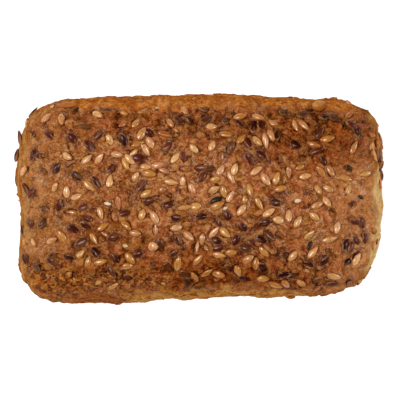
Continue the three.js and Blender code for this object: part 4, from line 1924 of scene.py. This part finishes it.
    def bed(self, toppings: list[Topping]) -> None:
        """Sinks a bed under each topping, raises a lip of dough round it, and marks painted shade beside it
        and brown stains round brown seeds.

        Args:
            toppings: What lies in the crust.
        """
        random = np.random.default_rng(self.bed_seed)
        points = read_rows(self.piece.data) / MM
        normals = read_rows(self.piece.data, "normal")
        near = KDTree(len(points))
        for place, point in enumerate(points):
            near.insert(Vector(point), place)
        near.balance()
        hollow, lip, hump, self.painted_shade_by_seed, self.browned = np.zeros((5, len(points)))
        for topping in toppings:
            half_length, half_width = half_sizes(topping)
            found = near.find_range(Vector(topping.point), half_length * self.widest)
            places = np.array([item[1] for item in found], dtype=int)
            if len(places) == 0:
                continue
            local = (points[places] - topping.point) @ topping.axes()
            away = np.hypot(local[:, 0] / half_length, local[:, 1] / half_width)
            if topping.hidden():
                height = self.hump_height * topping.hump * random.uniform(*self.hump_range)
                hump[places] = np.maximum(hump[places], height * ramp(self.hump_edge, away))
                continue
            angle = np.arctan2(local[:, 1], local[:, 0])
            lean = 0.5 + 0.5 * np.cos(angle - topping.covered_from)
            height = self.lip_height + (self.covered_lip_height - self.lip_height) * topping.covered
            height *= random.uniform(*self.lip_range)
            raised = height * lean * ramp(self.lip_rise, away) * ramp(self.lip_fall, away)
            lip[places] = np.maximum(lip[places], raised)
            # Painted shade: the crust round each seed is darkened on the side away from its lip
            shade = self.shade_gain * random.uniform(*self.shade_range) * ramp(self.shade_edge, away)
            self.painted_shade_by_seed[places] = np.maximum(self.painted_shade_by_seed[places], shade * (1 - lean))
            if topping.kind is Kind.BROWN:
                stain = random.uniform(0.0, 1.0) * ramp(self.stain_edge, away)
                self.browned[places] = np.maximum(self.browned[places], stain)
            sunk = self.bed_depth * (1 - ramp(self.bed_edge, away)) * (1 - topping.covered * lean)
            hollow[places] = np.maximum(hollow[places], sunk)
        lifted = np.where(hollow > self.bed_least, -hollow, np.maximum(lip, hump))
        move_to(self.piece.data, (points + normals * lifted[:, None]) * MM)

    def keep_inside(self, box: tuple[Vector, Vector]) -> None:
        """Keeps every point a little inside the solid's box, and on or above the table.

        Args:
            box: The box's lowest and highest corners, in metres.
        """
        low = np.array(box[0]) + self.margin * MM
        high = np.array(box[1]) - self.margin * MM
        low[2] = 0.0
        move_to(self.piece.data, np.clip(read_rows(self.piece.data), low, high))

    def relief(self) -> Array:
        """Works out how far each vertex stands above its surroundings.

        Returns:
            One value for each vertex, where 1 is a full crumb and -1 a deep crease.
        """
        mesh = self.piece.data
        lift = np.sum((read_rows(mesh) / MM - self.smooth) * self.outward, axis=1)
        ends = np.empty(len(mesh.edges) * 2, dtype=np.int32)
        mesh.edges.foreach_get("vertices", ends)
        first, second = ends.reshape(-1, 2).T
        count = len(lift)
        neighbours = np.bincount(ends, minlength=count)
        level = lift
        for _ in range(self.relief_rounds):
            total = np.bincount(first, level[second], count) + np.bincount(second, level[first], count)
            level = (level + total / neighbours) / 2
        return np.clip((lift - level) / self.full_relief, -1, 1)

    def mark(self) -> None:
        """Gives each vertex the values that the finish reads."""
        own = {
            "relief": self.relief(),
            "crumbled": self.seeded,
            "torn": self.torn,
            "painted_shade_by_seed": self.painted_shade_by_seed,
            "browned": self.browned,
        }
        set_values(self.piece.data, own | Zones().read(self.smooth, self.outward))

    def build(self, toppings: list[Topping]) -> None:
        """Makes the crust, which stands for the solid.

        Args:
            toppings: Those that get a bed.
        """
        self.make_net()
        self.draw_onto_form()
        self.weigh()
        self.roughen()
        self.settle(toppings)
        self.bed(toppings)
        self.keep_inside(CAD_BOX)
        self.mark()
        dress(self.piece, CrustFinish().build())
        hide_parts(NODE)
        LOG.info("crust: %d faces", len(self.piece.data.polygons))


@dataclass
class Seeds:
    """All the toppings of one kind, as one mesh."""

    kind: Kind
    toppings: list[Topping]
    unevenness: float = 0.08
    cover_slope: float = 0.35
    proud: float = 0.12
    upright_span: Span = (0.45, 0.95)
    front_span: Span = (-12.0, -22.0)
    front_cast: float = 0.6

    def place(self, shape: Array, topping: Topping, random: np.random.Generator) -> Array:
        """Copies the modelled seed to its place, and keeps it inside the solid's box.

        Args:
            shape: The modelled seed's vertices.
            topping: Where it goes, and how it is turned and stretched.
            random: Draws what makes its size a little different.

        Returns:
            Its vertices, in millimetres.
        """
        thickness = SHAPES[self.kind][0].thickness
        stretch = topping.size * np.array(topping.stretch) * (1 + random.uniform(-1, 1, 3) * self.unevenness)
        lift = topping.normal * thickness * (self.proud - topping.sunk)
        places = (shape * stretch) @ topping.axes().T + topping.point + lift
        places -= np.maximum(places.max(axis=0) - np.array(CAD_BOX[1]) / MM, 0)
        places += np.maximum(np.array(CAD_BOX[0]) / MM - places.min(axis=0), 0)
        return places

    def mark(self, topping: Topping, shape: Array, places: Array, cast: float) -> dict[str, Array]:
        """Works out the values of one seed's vertices that the finish reads, but for its rim.

        Args:
            topping: The seed.
            shape: The modelled seed's vertices.
            places: The same vertices in their places.
            cast: Which way its colour leans, from 0 to 1.

        Returns:
            One value for each vertex, by name.
        """
        towards = np.array([math.cos(topping.covered_from), math.sin(topping.covered_from)])
        span = shape[:, :2] / np.abs(shape[:, :2]).max(axis=0)
        at_front = ramp(self.front_span, topping.point[1]) if self.kind is Kind.GOLDEN else 0.0
        each = np.ones(len(places))
        return {
            "tint": each * topping.tint,
            "cast": each * cast * (1 - self.front_cast * at_front),
            "deep": share_at(places, 0.0, DARKER_BAKE_AND_SHADE_PATCHES).clip(0, 1),
            "along": span[:, 0],
            "across": span[:, 1],
            "upright": each * ramp(self.upright_span, topping.normal[2]),
            "covered": topping.covered + self.cover_slope * (span @ towards),
        }

    def build(self, random: np.random.Generator) -> None:
        """Copies the modelled seed to each place and joins the copies.

        Args:
            random: Draws what makes each copy a little different.
        """
        models = [shape.model() for shape in SHAPES[self.kind]]
        points: list[Array] = []
        faces: list[tuple[int, ...]] = []
        values: dict[str, list[Array]] = {name: [] for name in SEED_VALUES}
        count = 0
        for topping in self.toppings:
            shape, shape_faces, rim = models[int(random.integers(len(models)))]
            places = self.place(shape, topping, random)
            points.append(places)
            faces.extend(tuple(corner + count for corner in face) for face in shape_faces)
            own = self.mark(topping, shape, places, cast=random.random())
            for name, numbers in (own | {"rim": rim}).items():
                values[name].append(numbers)
            count += len(places)
        mesh = bpy.data.meshes.new(self.kind.value)
        mesh.from_pydata((np.vstack(points) * MM).tolist(), [], faces)
        set_values(mesh, {name: np.concatenate(numbers) for name, numbers in values.items()})
        piece = bpy.data.objects.new(self.kind.value, mesh)
        bpy.context.scene.collection.objects.link(piece)
        dress(piece, FINISHES[self.kind].build())
        LOG.info("%s: %d of them, %d faces", self.kind.value, len(self.toppings), len(faces))


# The studio


@dataclass(frozen=True)
class Light:
    """One soft square light: where it stands and how wide it is in metres, and its power in watts."""

    name: str
    place: tuple[float, float, float]
    width: float
    power: float
    colour: tuple[float, float, float]

    def add(self) -> None:
        """Adds the light, which faces the roll."""
        bpy.ops.object.light_add(type="AREA", location=self.place)
        light = bpy.context.object
        light.name = self.name
        light.data.shape = "SQUARE"
        light.data.size = self.width
        light.data.energy = self.power
        light.data.color = self.colour
        light.rotation_euler = (-Vector(self.place)).to_track_quat("-Z", "Y").to_euler()


@dataclass(frozen=True)
class Studio:
    """A white table, soft light from above and both sides, and a camera that looks straight down."""

    sensor: float = 36.0
    table_width: float = 4.0
    table_grey: Colour = (0.3, 0.3, 0.3, 1.0)
    table_roughness: float = 0.9
    table_glow: float = 0.97
    white: Colour = (1.0, 1.0, 1.0, 1.0)
    air_light: float = 0.04
    lights: tuple[Light, ...] = (
        Light("overhead", (-0.3, 0.06, 1.0), width=0.35, power=7.2, colour=(1.0, 0.985, 0.96)),
        Light("left", (-0.85, 0.2, 0.45), width=0.2, power=2.0, colour=(1.0, 0.98, 0.96)),
        Light("right", (0.9, 0.0, 0.45), width=0.2, power=3.3, colour=(1.0, 0.98, 0.96)),
    )

    def place_camera(self) -> None:
        """Adds the camera, which sees the girth of the roll at the photograph's scale."""
        bpy.ops.object.camera_add()
        camera = bpy.context.object
        camera.location = Vector(EYE.place() * MM)
        camera.rotation_euler = (0, 0, 0)
        half_view = EYE.image_width * EYE.mm_for_each_pixel / 2
        camera.data.sensor_width = self.sensor
        camera.data.lens = self.sensor / 2 * (EYE.height - EYE.girth_height) / half_view
        bpy.context.scene.camera = camera

    def lay_table(self) -> None:
        """Adds the white table top."""
        deselect_all()
        bpy.ops.mesh.primitive_plane_add(size=self.table_width)
        table = bpy.context.object
        table.name = "table_top"
        plain = {
            "Base Color": self.table_grey,
            "Roughness": self.table_roughness,
            "Emission Color": self.white,
            "Emission Strength": self.table_glow,
        }
        table.data.materials.append(Tree("white_table").finish({}, plain))

    def light_air(self) -> None:
        """Gives the air round the roll a faint light of its own."""
        world = bpy.data.worlds.new("soft_air")
        world.use_nodes = True
        background = world.node_tree.nodes["Background"]
        background.inputs["Color"].default_value = self.white
        background.inputs["Strength"].default_value = self.air_light
        bpy.context.scene.world = world

    def build(self) -> None:
        """Makes the table, the lights, the air's own light and the camera."""
        self.lay_table()
        for light in self.lights:
            light.add()
        self.light_air()
        bpy.context.scene.view_settings.view_transform = "Standard"
        self.place_camera()


def main() -> None:
    """Builds the roll and the studio round it."""
    logging.basicConfig(level=logging.INFO, format="%(name)s: %(message)s")
    form = RollForm()
    rule = ToppingRule(form)
    random = np.random.default_rng(RANDOM_SEED)
    by_kind = Sprinkling(rule, random).lay()
    crumbs = Crumbling(rule, random).lay()
    toppings = [topping for group in by_kind.values() for topping in group]
    crust = Crust(form)
    crust.build(toppings)
    crust.settle(crumbs)
    by_kind[Kind.CRUMB] = crumbs
    for kind, group in by_kind.items():
        Seeds(kind, [topping for topping in group if not topping.hidden()]).build(random)
    Studio().build()


if __name__ == "__main__":
    main()
